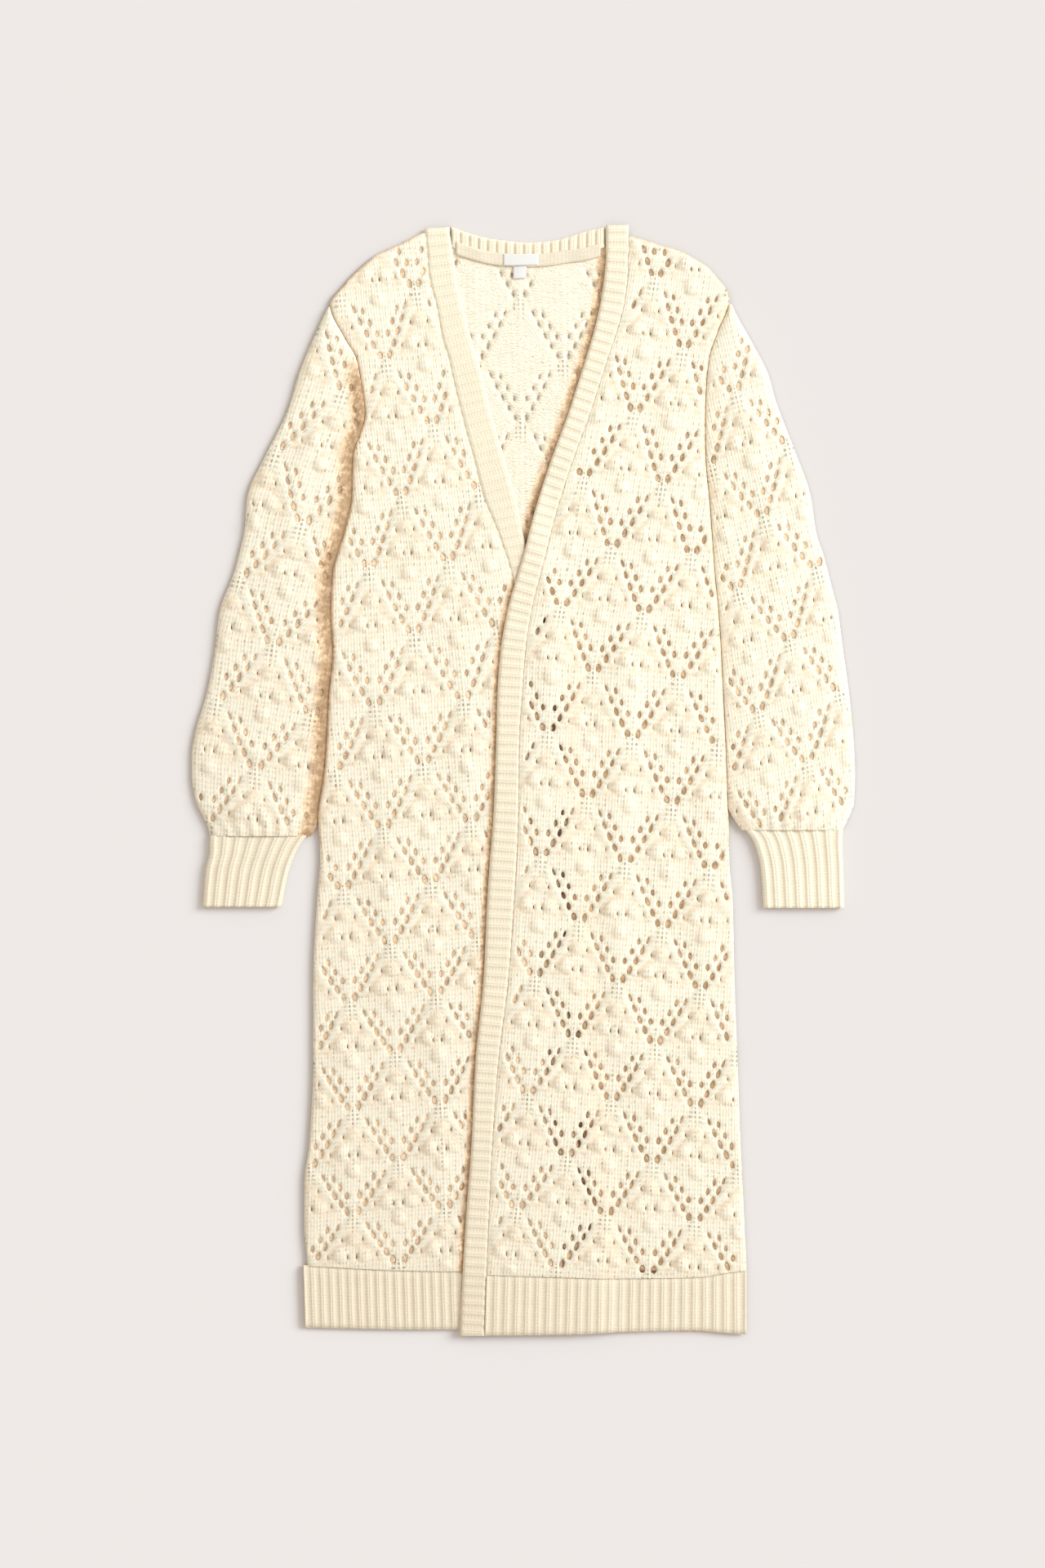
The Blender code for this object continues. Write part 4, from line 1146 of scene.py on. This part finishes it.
def flat_area(outline):
    """Area of an outline in square metres."""
    x, y = np.asarray(outline).T
    return 0.5 * abs(float(np.sum(x * np.roll(y, -1) - np.roll(x, -1) * y))) * MM * MM


def always(x, _y):
    return np.ones_like(x)


def never(x, _y):
    return np.zeros_like(x)


def knit_lace(panel, outline, skin, shows, margin, fade, shade, seed):
    """A lace wall under a skin, with its lower side and its painted shade as functions of the place."""
    lace = panel.lace
    rng = np.random.default_rng(seed)

    def opening_fits(x, y):
        return panel.clear(x, y) > margin and shows(x, y) > 0.9

    def dome_fits(x, y):
        return panel.clear(x, y) > 5.0 and shows(x, y) > 0.5

    openings = openings_of(lace, opening_fits, rng, EYELETS + SLITS)
    domes = bobbles_of(lace, dome_fits, rng)

    def top(x, y):
        whole = ease(panel.clear(x, y) / fade) * shows(x, y)
        return skin(x, y) + whole * lace_relief(lace, domes, x, y)

    def bottom(x, y):
        return np.maximum(skin(x, y) - LACE_THICKNESS, 0.3)

    def hollow(x, y):
        return np.maximum(shade(x, y), lace_shade(lace, domes, x, y))

    def fine(x, y):
        return shows(x, y) > 0.02

    shell = knit_shell(outline, top, bottom, panel.clear, lace, openings, domes, hollow, fine)
    return shell, bottom, hollow


def knit_front(name, front, base, shows, hidden, folds, node):
    """One front: rolled at its side, dipped at its seams, cut and raised as lace."""

    def skin(x, y):
        full = base(x, y) + FRONT_WALL + shows(x, y) * fold_height(front, folds, x, y)
        edge = EDGE_LOW + (full - EDGE_LOW) * round_over(front.from_side(x, y) / 4.5)
        seam_dip = 0.9 * fall(front.from_seam(x, y) / 5.0)
        hem_dip = 0.3 * fall((y - front.hem_top(x)) / 3.0)
        return edge - np.maximum(seam_dip, hem_dip)

    # Painted shade along the seam, along the side and its edge, and the given painted shade
    def shade(x, y):
        seam = 0.3 * fall(front.from_seam(x, y) / 3.0)
        side = 0.16 * fall(front.from_side(x, y) / 14.0)
        edge = fall((front.from_side(x, y) - 0.4) / 2.2)
        side = side + 0.7 * edge * ease((y + 75.0) / 20.0)
        return np.maximum.reduce([seam, side, hidden(x, y)])

    seam = line(front.seam, front.top, front.hem_top(front.seam(-495.0)))
    side = line(front.side, front.hem_top(front.side(-490.0)), front.top)
    x = np.linspace(seam[-1][0], side[0][0], 200)
    foot = np.column_stack([x, front.hem_top(x)])
    outline = closed_outline(seam, foot, side, [side[-1], seam[0]])
    shell = knit_lace(front, outline, skin, shows, 6.0, 9.0, shade, SEED + int(front.out))[0]
    cut = np.ptp(outline, axis=0)
    make_piece(name, [shell], "lace_wool", [node], cut, flat_area(outline))


def left_hidden(x, y):
    """Faint painted shade in the valley beside the band that lies under the left front."""
    valley = bell((x - RIGHT.free(y) - BAND_WIDTH) / 20.0)
    return 0.28 * valley * ease((CROSSING - 10.0 - y) / 60.0)


def right_shows(x, y):
    """1 where the right front shows beside the left band, 0 where that hides it."""
    return ease((LEFT.free(y) - x) / 7.0)


def crevice(x, y):
    """Painted warm shade along the free edge of the left band, where the band shades the cloth beside
    it, and fainter painted shade under it.
    """
    inside = x - LEFT.free(y)
    line = CREVICE_SHADE * ease((inside + 8.0) / 7.0) * fall((inside - 4.0) / 8.0)
    return np.maximum(line, HOLE_SHADE * ease(inside / 6.0))


class CARDIGAN_OT_fronts(bpy.types.Operator):
    """Knit the two fronts in diamond lace"""

    bl_idname = "cardigan.fronts"
    bl_label = "Fronts"

    def execute(self, context):
        knit_front("right_front_lace", RIGHT, right_base, right_shows, crevice, RIGHT_CREASES,
                   "front_right")
        knit_front("left_front_lace", LEFT, left_base, always, left_hidden, LEFT_CREASES,
                   "front_left")
        return {"FINISHED"}


class CARDIGAN_OT_back(bpy.types.Operator):
    """Knit the back, which shows its wrong side inside the neck"""

    bl_idname = "cardigan.back"
    bl_label = "Back"

    def execute(self, context):
        lace = Lace(*BACK_LACE)
        neck = Curve(NECK, "seam", "x")
        hem = Curve(BACK_HEM, "top", "x")
        shoulders = (549.0, 546.0)

        def left_side(y):
            return RIGHT.side(y) + BACK_TUCK

        def right_side(y):
            return LEFT.side(y) - BACK_TUCK

        def inside(x, y):
            sides = np.minimum(x - left_side(y), right_side(y) - x)
            ends = np.minimum(y - hem(x), np.where(np.abs(x - 5.0) < 78.0, neck(x), 560.0) - y)
            return np.minimum(sides, ends)

        def shown(x, y):
            """How far a point lies inside the neck, between the two bands."""
            return np.minimum(x - RIGHT.free(y), LEFT.free(y) - x)

        def top(x, y):
            a, b = in_diamond(*lace.pattern(x, y))
            arm = np.where(b > 0.5, 1.0 - np.abs(a) - b, np.abs(a) - b)
            dent = bell(np.hypot(a / 0.16, (b - 0.57) / 0.2))
            relief = 0.5 - 0.5 * bell(arm / 0.09) + 0.5 * dent
            under = 0.7 + under_fronts(x, y)
            open_neck = ease((shown(x, y) + 4.0) / 6.0)
            return BACK_WALL - 0.2 + (relief - 0.5) * open_neck + under * (1.0 - open_neck)

        # Painted shade where the back lies under the fronts, strongest along the left band's free edge,
        # and faint elsewhere
        def hollow(x, y):
            right_edge = HOLE_SHADE * ease((RIGHT.free(y) + 1.0 - x) / 3.0)
            left_edge = CREVICE_SHADE * ease((x - LEFT.free(y) + 13.0) / 11.0)
            return np.maximum(np.maximum(left_edge, right_edge), 0.08)

        def fits(x, y):
            return shown(x, y) > -6.0 and 225.0 < y < neck(x) - 14.0

        def fine(x, y):
            return (shown(x, y) > -8.0) & (y > 215.0)

        left = line(left_side, shoulders[0], hem(-210.0))
        right = line(right_side, hem(210.0), shoulders[1])
        foot = np.linspace(left[-1], right[0], 20)
        x = np.linspace(right[-1][0], left[0][0], 220)
        slope = np.interp(x, [x[-1], x[0]], shoulders)
        collar = np.column_stack([x, np.minimum(neck(x), slope)])
        outline = closed_outline(left, foot, right, collar)
        openings = openings_of(lace, fits, np.random.default_rng(SEED), EYELETS)
        shell = knit_shell(outline, top, never, inside, lace, openings, [], hollow, fine,
                           WRONG_SIDE_TAPER, WRONG_SIDE_HOLE_SHADE)
        cut = np.ptp(outline, axis=0)
        make_piece("back_lace", [shell], "wrong_side_wool", ["back"], cut, flat_area(outline))
        return {"FINISHED"}


def rib_profile(phase):
    """Height of a rib from 0 to 1: round over its crown, with a narrower groove."""
    out = np.abs(phase % 1.0 - 0.5)
    return fall((out - 0.5 * 0.56 + 0.12) / 0.24)


def rib_strip(edge_a, edge_b, base, phase, roll, flatten, floor_edge=0.4, wall=1.8):
    """A ribbed wall between two edges: rows run along it and columns from edge to edge."""
    share = np.linspace(0.0, 1.0, 13)[None, :]
    plan = edge_a[:, None, :] * (1.0 - share)[..., None] + edge_b[:, None, :] * share[..., None]
    x, y = plan[..., 0], plan[..., 1]
    width = np.hypot(*(edge_b - edge_a).T)[:, None]
    near_a = share * width
    near_b = (1.0 - share) * width
    hidden = flatten(x, y)
    rib = rib_profile(phase)[:, None] * (1.0 - hidden) + 0.5 * hidden
    rise = wall + size("rib_height") * rib
    rise = floor_edge + (rise - floor_edge) * round_over(near_a / roll[0]) * round_over(near_b / roll[1])
    ground_height = base(x, y)
    pattern = side_by_side(phase[:, None], near_a)
    # Painted shade in the grooves of the rib and where it lies under the left band
    hollow = np.maximum(0.04 * (1.0 - rib), HOLE_SHADE * hidden)
    return strip_shell(plan, ground_height + rise, ground_height, pattern, hollow)


def knit_band(name, front, base, node, flatten):
    """A cross-ribbed band from its free edge to its seam."""
    top, foot = front.band
    count = round((top - foot) / size("band_rib"))
    y = np.linspace(top, foot, 9 * count + 1)
    reach = 20.0
    lean = (front.free(y + reach) - front.free(y - reach)) / (2.0 * reach)
    seam_y = np.clip(y - lean * (front.seam(y) - front.free(y)), foot, None)
    seam = np.column_stack([front.seam(seam_y) + front.out * SEAM_LAP, seam_y])
    free = np.column_stack([front.free(y), y])
    shell = rib_strip(free, seam, base, (top - y) / (top - foot) * count, (3.2, 2.2), flatten)
    cut = (np.mean(np.hypot(*(seam - free).T)), np.sum(np.hypot(*np.diff(free, axis=0).T)))
    make_piece(name, [shell], "rib_wool", [node], cut)


class CARDIGAN_OT_bands(bpy.types.Operator):
    """Knit the cross-ribbed front bands"""

    bl_idname = "cardigan.bands"
    bl_label = "Front bands"

    def execute(self, context):
        def under(x, y):
            return ease((x - LEFT.free(y) + 4.0) / 6.0)

        knit_band("right_front_band", RIGHT, right_base, "band_front_right", under)
        knit_band("left_front_band", LEFT, left_base, "band_front_left", never)
        return {"FINISHED"}


def knit_hem(name, node, hem_top, hem_bottom, base, start, end, pitch, flatten, wall=1.8):
    """A rib hem: start and end give its X at the top and at the bottom."""
    count = round(abs(end[0] - start[0]) / pitch)
    t = np.linspace(0.0, 1.0, 10 * count + 1)
    high_x, low_x = (first + (last - first) * t for first, last in zip(start, end))
    high = np.column_stack([high_x, hem_top(high_x) + SEAM_LAP])
    low = np.column_stack([low_x, hem_bottom(low_x)])
    shell = rib_strip(high, low, base, t * count + 0.5, (1.2, 3.2), flatten, 1.0, wall)
    cut = (abs(end[0] - start[0]), np.mean(high[:, 1] - low[:, 1]))
    make_piece(name, [shell], "rib_wool", [node], cut)


class CARDIGAN_OT_hems(bpy.types.Operator):
    """Knit the rib hems of the fronts and the back"""

    bl_idname = "cardigan.hems"
    bl_label = "Hems"

    def execute(self, context):
        def under(x, y):
            return ease((x - LEFT.free(y) + 3.0) / 5.0)

        right_x, left_x = RIGHT_HEM[0].x, LEFT_HEM[-1].x
        seam = (RIGHT.seam(-493.0), RIGHT.seam(-551.0))
        knit_hem("right_hem_rib", "hem_front_right", RIGHT.hem_top, RIGHT.hem_bottom, right_base,
                 (right_x + 3.0, right_x + 5.0), seam, RIGHT_HEM_RIB, under)
        seam = (LEFT.seam(-496.0), LEFT.seam(-557.0))
        knit_hem("left_hem_rib", "hem_front_left", LEFT.hem_top, LEFT.hem_bottom, left_base,
                 seam, (left_x - 2.0, left_x - 2.0), LEFT_HEM_RIB, never)
        top, bottom = (Curve(BACK_HEM, name, "x") for name in ("top", "bottom"))
        knit_hem("back_hem_rib", "hem_back", top, bottom, never,
                 (right_x + 6.0,) * 2, (left_x - 5.0,) * 2, BACK_HEM_RIB, always, 2.3)
        return {"FINISHED"}


class CARDIGAN_OT_neck(bpy.types.Operator):
    """Knit the rib round the back neck and lay the tape over its seam"""

    bl_idname = "cardigan.neck"
    bl_label = "Back neck"

    def execute(self, context):
        top, seam, tape = (Curve(NECK, name, "x") for name in ("top", "seam", "tape"))
        start, end = NECK[0].x + 0.6, NECK[-1].x - 0.6
        count = round((end - start) / size("neck_rib"))
        x = np.linspace(start, end, 16 * count + 1)[:, None]
        t = np.linspace(0.0, 1.0, 13)[None, :]
        phase = (x - start) / (end - start) * count
        high, low = top(x), seam(x) - SEAM_LAP
        out = np.abs(phase % 1.0 - 0.5)
        # Slits between the ribs, cut lower into the rib and given painted shade
        slit = ease((out - 0.33) / 0.12) * ease(t / 0.22) * ease((1.0 - t) / 0.2)
        from_top = t * (high - low)
        rise = 0.8 + (3.1 - 1.3 * slit) * round_over((from_top + 0.3) / 3.5) - 0.5
        plan = side_by_side(x, high + (low - high) * t)
        shell = strip_shell(plan, rise, 0.0, side_by_side(phase, from_top), 0.45 * slit)
        cut = (end - start, np.mean(high - low))
        make_piece("back_neck_rib", [shell], "rib_wool", ["band_neck"], cut)

        x = np.linspace(start + 5.0, end - 4.0, 90)[:, None]
        edge = np.minimum(t, 1.0 - t) * TAPE_DEPTH
        swell = 0.25 * np.sin(x / 9.0) + 0.2 * np.sin(x / 4.1)
        rise = TAPE_FLOOR + 0.5 + (0.9 + swell) * round_over(edge / 3.0)
        plan = side_by_side(x, tape(x) + TAPE_DEPTH * (1.0 - t))
        # Painted shade along the tape's lower edge
        hollow = 0.4 * ease(1.0 - (1.0 - t) * TAPE_DEPTH / 1.2)
        shell = strip_shell(plan, rise, TAPE_FLOOR, side_by_side(x, TAPE_DEPTH * t), hollow)
        cut = (np.ptp(x), TAPE_DEPTH)
        make_piece("neck_jersey_tape", [shell], "jersey_tape", ["neck_tape"], cut)
        return {"FINISHED"}


def make_label(name, node, place):
    """A bare woven label, softly bent, with its long edges folded under."""
    left, right, low, high, level = place
    x = np.linspace(left, right, 30)[:, None]
    t = np.linspace(0.0, 1.0, 14)[None, :]
    y = high + (low - high) * t
    edge = np.minimum(np.minimum(x - left, right - x), np.minimum(t, 1.0 - t) * (high - low))
    bend = 0.35 * np.sin(math.pi * (x - left) / (right - left)) + 0.2 * np.sin(3.0 * t + x / 8.0)
    base = level + bend
    rise = base + 0.25 + 0.45 * round_over(edge / 0.8)
    plan = side_by_side(x, y + 0.25 * np.sin(x / 7.0))
    shell = strip_shell(plan, rise, base, side_by_side(x, y), 0.0)
    make_piece(name, [shell], "bare_label", [node], (right - left, high - low))


class CARDIGAN_OT_labels(bpy.types.Operator):
    """Sew on the two bare labels"""

    bl_idname = "cardigan.labels"
    bl_label = "Labels"

    def execute(self, context):
        make_label("neck_label", "label", LABEL)
        make_label("neck_size_label", "size_label", SIZE_LABEL)
        return {"FINISHED"}


class SleevePanel:
    """The lines and heights of one sleeve, laid flat beside the body."""

    def __init__(self, rows, front, lace, folds):
        self.folds = folds
        self.outer = Curve(rows, "outer")
        self.tuck = Curve(rows, "tuck")
        self.front = front
        self.out = front.out
        self.lace = Lace(*lace)
        self.top_y = float(rows[0].y)
        self.foot = float(rows[-1].y)

    def inner(self, y):
        return self.front.side(y) + self.out * (0.05 + np.maximum(self.tuck(y) - 3.0, 0.0))

    def from_outer(self, x, y):
        return -self.out * self.outer.apart(x, y)

    def from_inner(self, x, y):
        return self.out * (x - self.inner(y))

    def clear(self, x, y):
        sides = np.minimum(self.from_outer(x, y), self.from_inner(x, y))
        ends = np.minimum(y - self.foot + 1.0, self.top_y - y)
        return np.minimum(sides, ends)

    def share(self, x, y):
        width = self.out * (self.outer(y) - self.inner(y))
        return np.clip(self.from_inner(x, y) / np.maximum(width, 1.0), 0.0, 1.0)

    def skin(self, x, y):
        """Height of the plain upper layer: puffed, gathered at the cuff, rolled at its edges."""
        t = self.share(x, y)
        gather = fall((y - self.foot) / 55.0)
        fold = 0.5 - 0.5 * np.cos(2.0 * math.pi * (8.0 * t + 0.35 * np.sin(y / 17.0)))
        arch = np.sin(math.pi * t) ** 0.6
        puff = 2.8 * arch + 2.6 * arch * bell((y - self.foot - 16.0) / 34.0)
        full = SLEEVE_BASE + FRONT_WALL + puff + 1.7 * gather * fold * arch
        outer = round_over(self.from_outer(x, y) / 7.0)
        valley = ease((self.from_inner(x, y) + 1.0) / 20.0)
        shoulder = ease((y - 300.0) / 90.0) if self.out < 0.0 else 1.0
        inner = np.maximum(valley, shoulder * round_over((self.from_inner(x, y) + 1.5) / 5.0))
        full = full + fold_height(self, self.folds, x, y)
        low = 2.5 + (EDGE_LOW - 2.5) * outer
        height = low + (full - low) * outer * inner
        return height - fall((y - self.foot + 1.0) / 5.0) * arch

    def valley_shade(self, x, y):
        """Painted shade beside the body, deep on the right sleeve and faint on the left one."""
        near = fall((self.from_inner(x, y) - 3.0) / 20.0)
        return near * ease((440.0 - y) / 50.0) * (1.7 if self.out < 0.0 else 0.25)


def knit_sleeve(name, sleeve, nodes, seed):
    """A sleeve: lace above, and a plain strip under it."""
    inner = line(sleeve.inner, sleeve.top_y, sleeve.foot)
    outer = line(sleeve.outer, sleeve.foot, sleeve.top_y)
    lap = 1.2
    foot = np.array([inner[-1], inner[-1] - (0.0, lap), outer[0] - (0.0, lap), outer[0]])
    outline = closed_outline(inner, foot, outer, [outer[-1], inner[0]])
    upper, bottom, hollow = knit_lace(
        sleeve, outline, sleeve.skin, always, 5.5, 10.0, sleeve.valley_shade, seed
    )
    y = np.linspace(sleeve.top_y - 9.0, sleeve.foot - lap, 120)[:, None]
    near, far = sleeve.inner(y) + 4.0 * sleeve.out, sleeve.outer(y) - 4.0 * sleeve.out
    x, y = np.broadcast_arrays(near + (far - near) * np.linspace(0.0, 1.0, 16), y)
    under_top = np.maximum(bottom(x, y) - 0.4, 1.0)
    # Painted shade of the under layer, seen through the eyelets
    under_shade = HOLE_SHADE + 0.6 * hollow(x, y)
    under_pattern = side_by_side(*sleeve.lace.pattern(x, y))
    under = strip_shell(side_by_side(x, y), under_top, 0.0, under_pattern, under_shade)
    cut = np.ptp(outline, axis=0) * (2.0, 1.0)
    make_piece(name, [upper, under], "lace_wool", nodes, cut, 2.0 * flat_area(outline))


class CARDIGAN_OT_sleeves(bpy.types.Operator):
    """Knit the two sleeves, each a flattened tube"""

    bl_idname = "cardigan.sleeves"
    bl_label = "Sleeves"

    def execute(self, context):
        right = SleevePanel(RIGHT_SLEEVE, RIGHT, RIGHT_SLEEVE_LACE, RIGHT_SLEEVE_CREASES)
        left = SleevePanel(LEFT_SLEEVE, LEFT, LEFT_SLEEVE_LACE, LEFT_SLEEVE_CREASES)
        knit_sleeve("right_sleeve_lace", right, ["sleeve_right_upper", "sleeve_right_under"], SEED + 3)
        knit_sleeve("left_sleeve_lace", left, ["sleeve_left_upper", "sleeve_left_under"], SEED + 5)
        return {"FINISHED"}


def knit_cuff(name, node, rows):
    """A rib cuff: a flattened tube whose ribs run from the sleeve to its open end."""
    y = np.linspace(rows[0].y - 0.3, rows[-1].y, 34)[:, None]
    left, right = np.sort([Curve(rows, edge)(y) for edge in ("outer", "inner")], axis=0)
    width = right - left
    half = 100
    share = np.concatenate([np.linspace(0.0, 1.0, half), np.linspace(1.0, 0.0, 30)[1:-1]])
    upper = np.arange(len(share)) < half
    edge = np.minimum(share, 1.0 - share) * width
    rib = rib_profile(share * CUFF_RIBS + 0.2)
    swell = round_over((edge + 0.05) / 5.5)
    end = np.minimum(np.abs(y - y[0]), np.abs(y - y[-1]))
    crown = CUFF_HEIGHT - CUFF_MIDDLE - 0.7 * (1.0 - round_over((end + 0.4) / 3.0))
    high = CUFF_MIDDLE + (crown + 1.2 * size("rib_height") * rib) * swell
    z = np.where(upper, high, CUFF_MIDDLE * (1.0 - swell))
    outer = side_by_side(left + share * width, y, z)
    inner_z = CUFF_MIDDLE + np.where(upper, 0.6, -0.6) * swell
    inner = side_by_side(left + 2.0 + share * (width - 4.0), y, inner_z)
    pattern = side_by_side(share * CUFF_RIBS + 0.2, y[0] - y)
    # Painted shade in the grooves of the upper side; the inside carries the tube's own painted shade
    shell = tube_shell(outer, inner, pattern, 0.06 * (1.0 - rib) * upper)
    make_piece(name, [shell], "rib_wool", [node], (2.0 * np.mean(width), y[0, 0] - y[-1, 0]))


class CARDIGAN_OT_cuffs(bpy.types.Operator):
    """Knit the two rib cuffs"""

    bl_idname = "cardigan.cuffs"
    bl_label = "Cuffs"

    def execute(self, context):
        knit_cuff("right_cuff_rib", "cuff_right", RIGHT_CUFF)
        knit_cuff("left_cuff_rib", "cuff_left", LEFT_CUFF)
        return {"FINISHED"}


# Stage

CAMERA_HEIGHT = 5.0
VIEW_HEIGHT = 1.5744
VIEW_CENTRE = (-0.0008, -0.0037)
SENSOR = 36.0
KEY_BEARING = 68.0
KEY_HEIGHT = 32.0
KEY_WIDTH = 30.0
KEY_STRENGTH = 3.15
KEY_TINT = (0.83, 0.91, 1.0)
SKY_STRENGTH = 0.83
SKY_TINT = (1.0, 0.945, 0.885)
FLOOR_REACH = 4.0
FLOOR_LEVEL = -0.0004


def add_sun(name, compass, height, width, strength, tint):
    """A soft distant light from a compass bearing and a height over the floor, in degrees."""
    light = bpy.data.lights.new(name, "SUN")
    light.energy = strength
    light.angle = math.radians(width)
    light.color = tint
    lamp = bpy.data.objects.new(name, light)
    lamp.rotation_euler = (math.radians(90.0 - height), 0.0, math.radians(180.0 - compass))
    bpy.context.scene.collection.objects.link(lamp)


class CARDIGAN_OT_stage(bpy.types.Operator):
    """Lay the floor, hang the lights and set the camera straight above"""

    bl_idname = "cardigan.stage"
    bl_label = "Stage"

    def execute(self, context):
        mesh = bpy.data.meshes.new("floor")
        signs = ((-1, -1), (1, -1), (1, 1), (-1, 1))
        corners = [(FLOOR_REACH * x, FLOOR_REACH * y, FLOOR_LEVEL) for x, y in signs]
        mesh.from_pydata(corners, [], [(0, 1, 2, 3)])
        mesh.materials.append(ground("pale_ground"))
        floor = bpy.data.objects.new("floor", mesh)
        context.scene.collection.objects.link(floor)
        floor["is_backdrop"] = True
        camera = bpy.data.cameras.new("camera")
        camera.sensor_fit = "VERTICAL"
        camera.sensor_height = SENSOR
        camera.lens = SENSOR * CAMERA_HEIGHT / VIEW_HEIGHT
        eye = bpy.data.objects.new("camera", camera)
        eye.location = (*VIEW_CENTRE, CAMERA_HEIGHT)
        context.scene.collection.objects.link(eye)
        context.scene.camera = eye
        add_sun("key", KEY_BEARING, KEY_HEIGHT, KEY_WIDTH, KEY_STRENGTH, KEY_TINT)
        world = bpy.data.worlds.new("studio")
        world.use_nodes = True
        background = world.node_tree.nodes["Background"]
        background.inputs["Color"].default_value = (*SKY_TINT, 1.0)
        background.inputs["Strength"].default_value = SKY_STRENGTH
        context.scene.world = world
        context.scene.view_settings.view_transform = "Standard"
        return {"FINISHED"}


STEPS = ("stage", "back", "fronts", "bands", "hems", "neck", "labels", "sleeves", "cuffs")


class CARDIGAN_PT_sidebar(bpy.types.Panel):
    """Lists the cardigan's pieces, sizes and colours"""

    bl_idname = "CARDIGAN_PT_sidebar"
    bl_label = "Duster Cardigan"
    bl_space_type = "VIEW_3D"
    bl_region_type = "UI"
    bl_category = "Cardigan"

    def draw(self, context):
        column = self.layout.column()
        for step in STEPS:
            column.operator("cardigan." + step)
        for group in (context.scene.cardigan_sizes, context.scene.cardigan_colours):
            box = self.layout.box()
            for name in group.bl_rna.properties.keys():
                if name not in ("rna_type", "name"):
                    box.prop(group, name)


CLASSES = (
    CardiganSizes, CardiganColours, CARDIGAN_OT_stage, CARDIGAN_OT_back, CARDIGAN_OT_fronts,
    CARDIGAN_OT_bands, CARDIGAN_OT_hems, CARDIGAN_OT_neck, CARDIGAN_OT_labels,
    CARDIGAN_OT_sleeves, CARDIGAN_OT_cuffs, CARDIGAN_PT_sidebar,
)


def register():
    for item in CLASSES:
        bpy.utils.register_class(item)
    bpy.types.Scene.cardigan_sizes = PointerProperty(type=CardiganSizes)
    bpy.types.Scene.cardigan_colours = PointerProperty(type=CardiganColours)


def unregister():
    del bpy.types.Scene.cardigan_colours
    del bpy.types.Scene.cardigan_sizes
    for item in reversed(CLASSES):
        bpy.utils.unregister_class(item)


def main():
    register()
    for step in STEPS:
        getattr(bpy.ops.cardigan, step)()
    boxes = {"cad": cad_box, "visual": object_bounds()}
    boxes = {name: [list(corner) for corner in box] for name, box in boxes.items()}


if __name__ == "__main__":
    main()
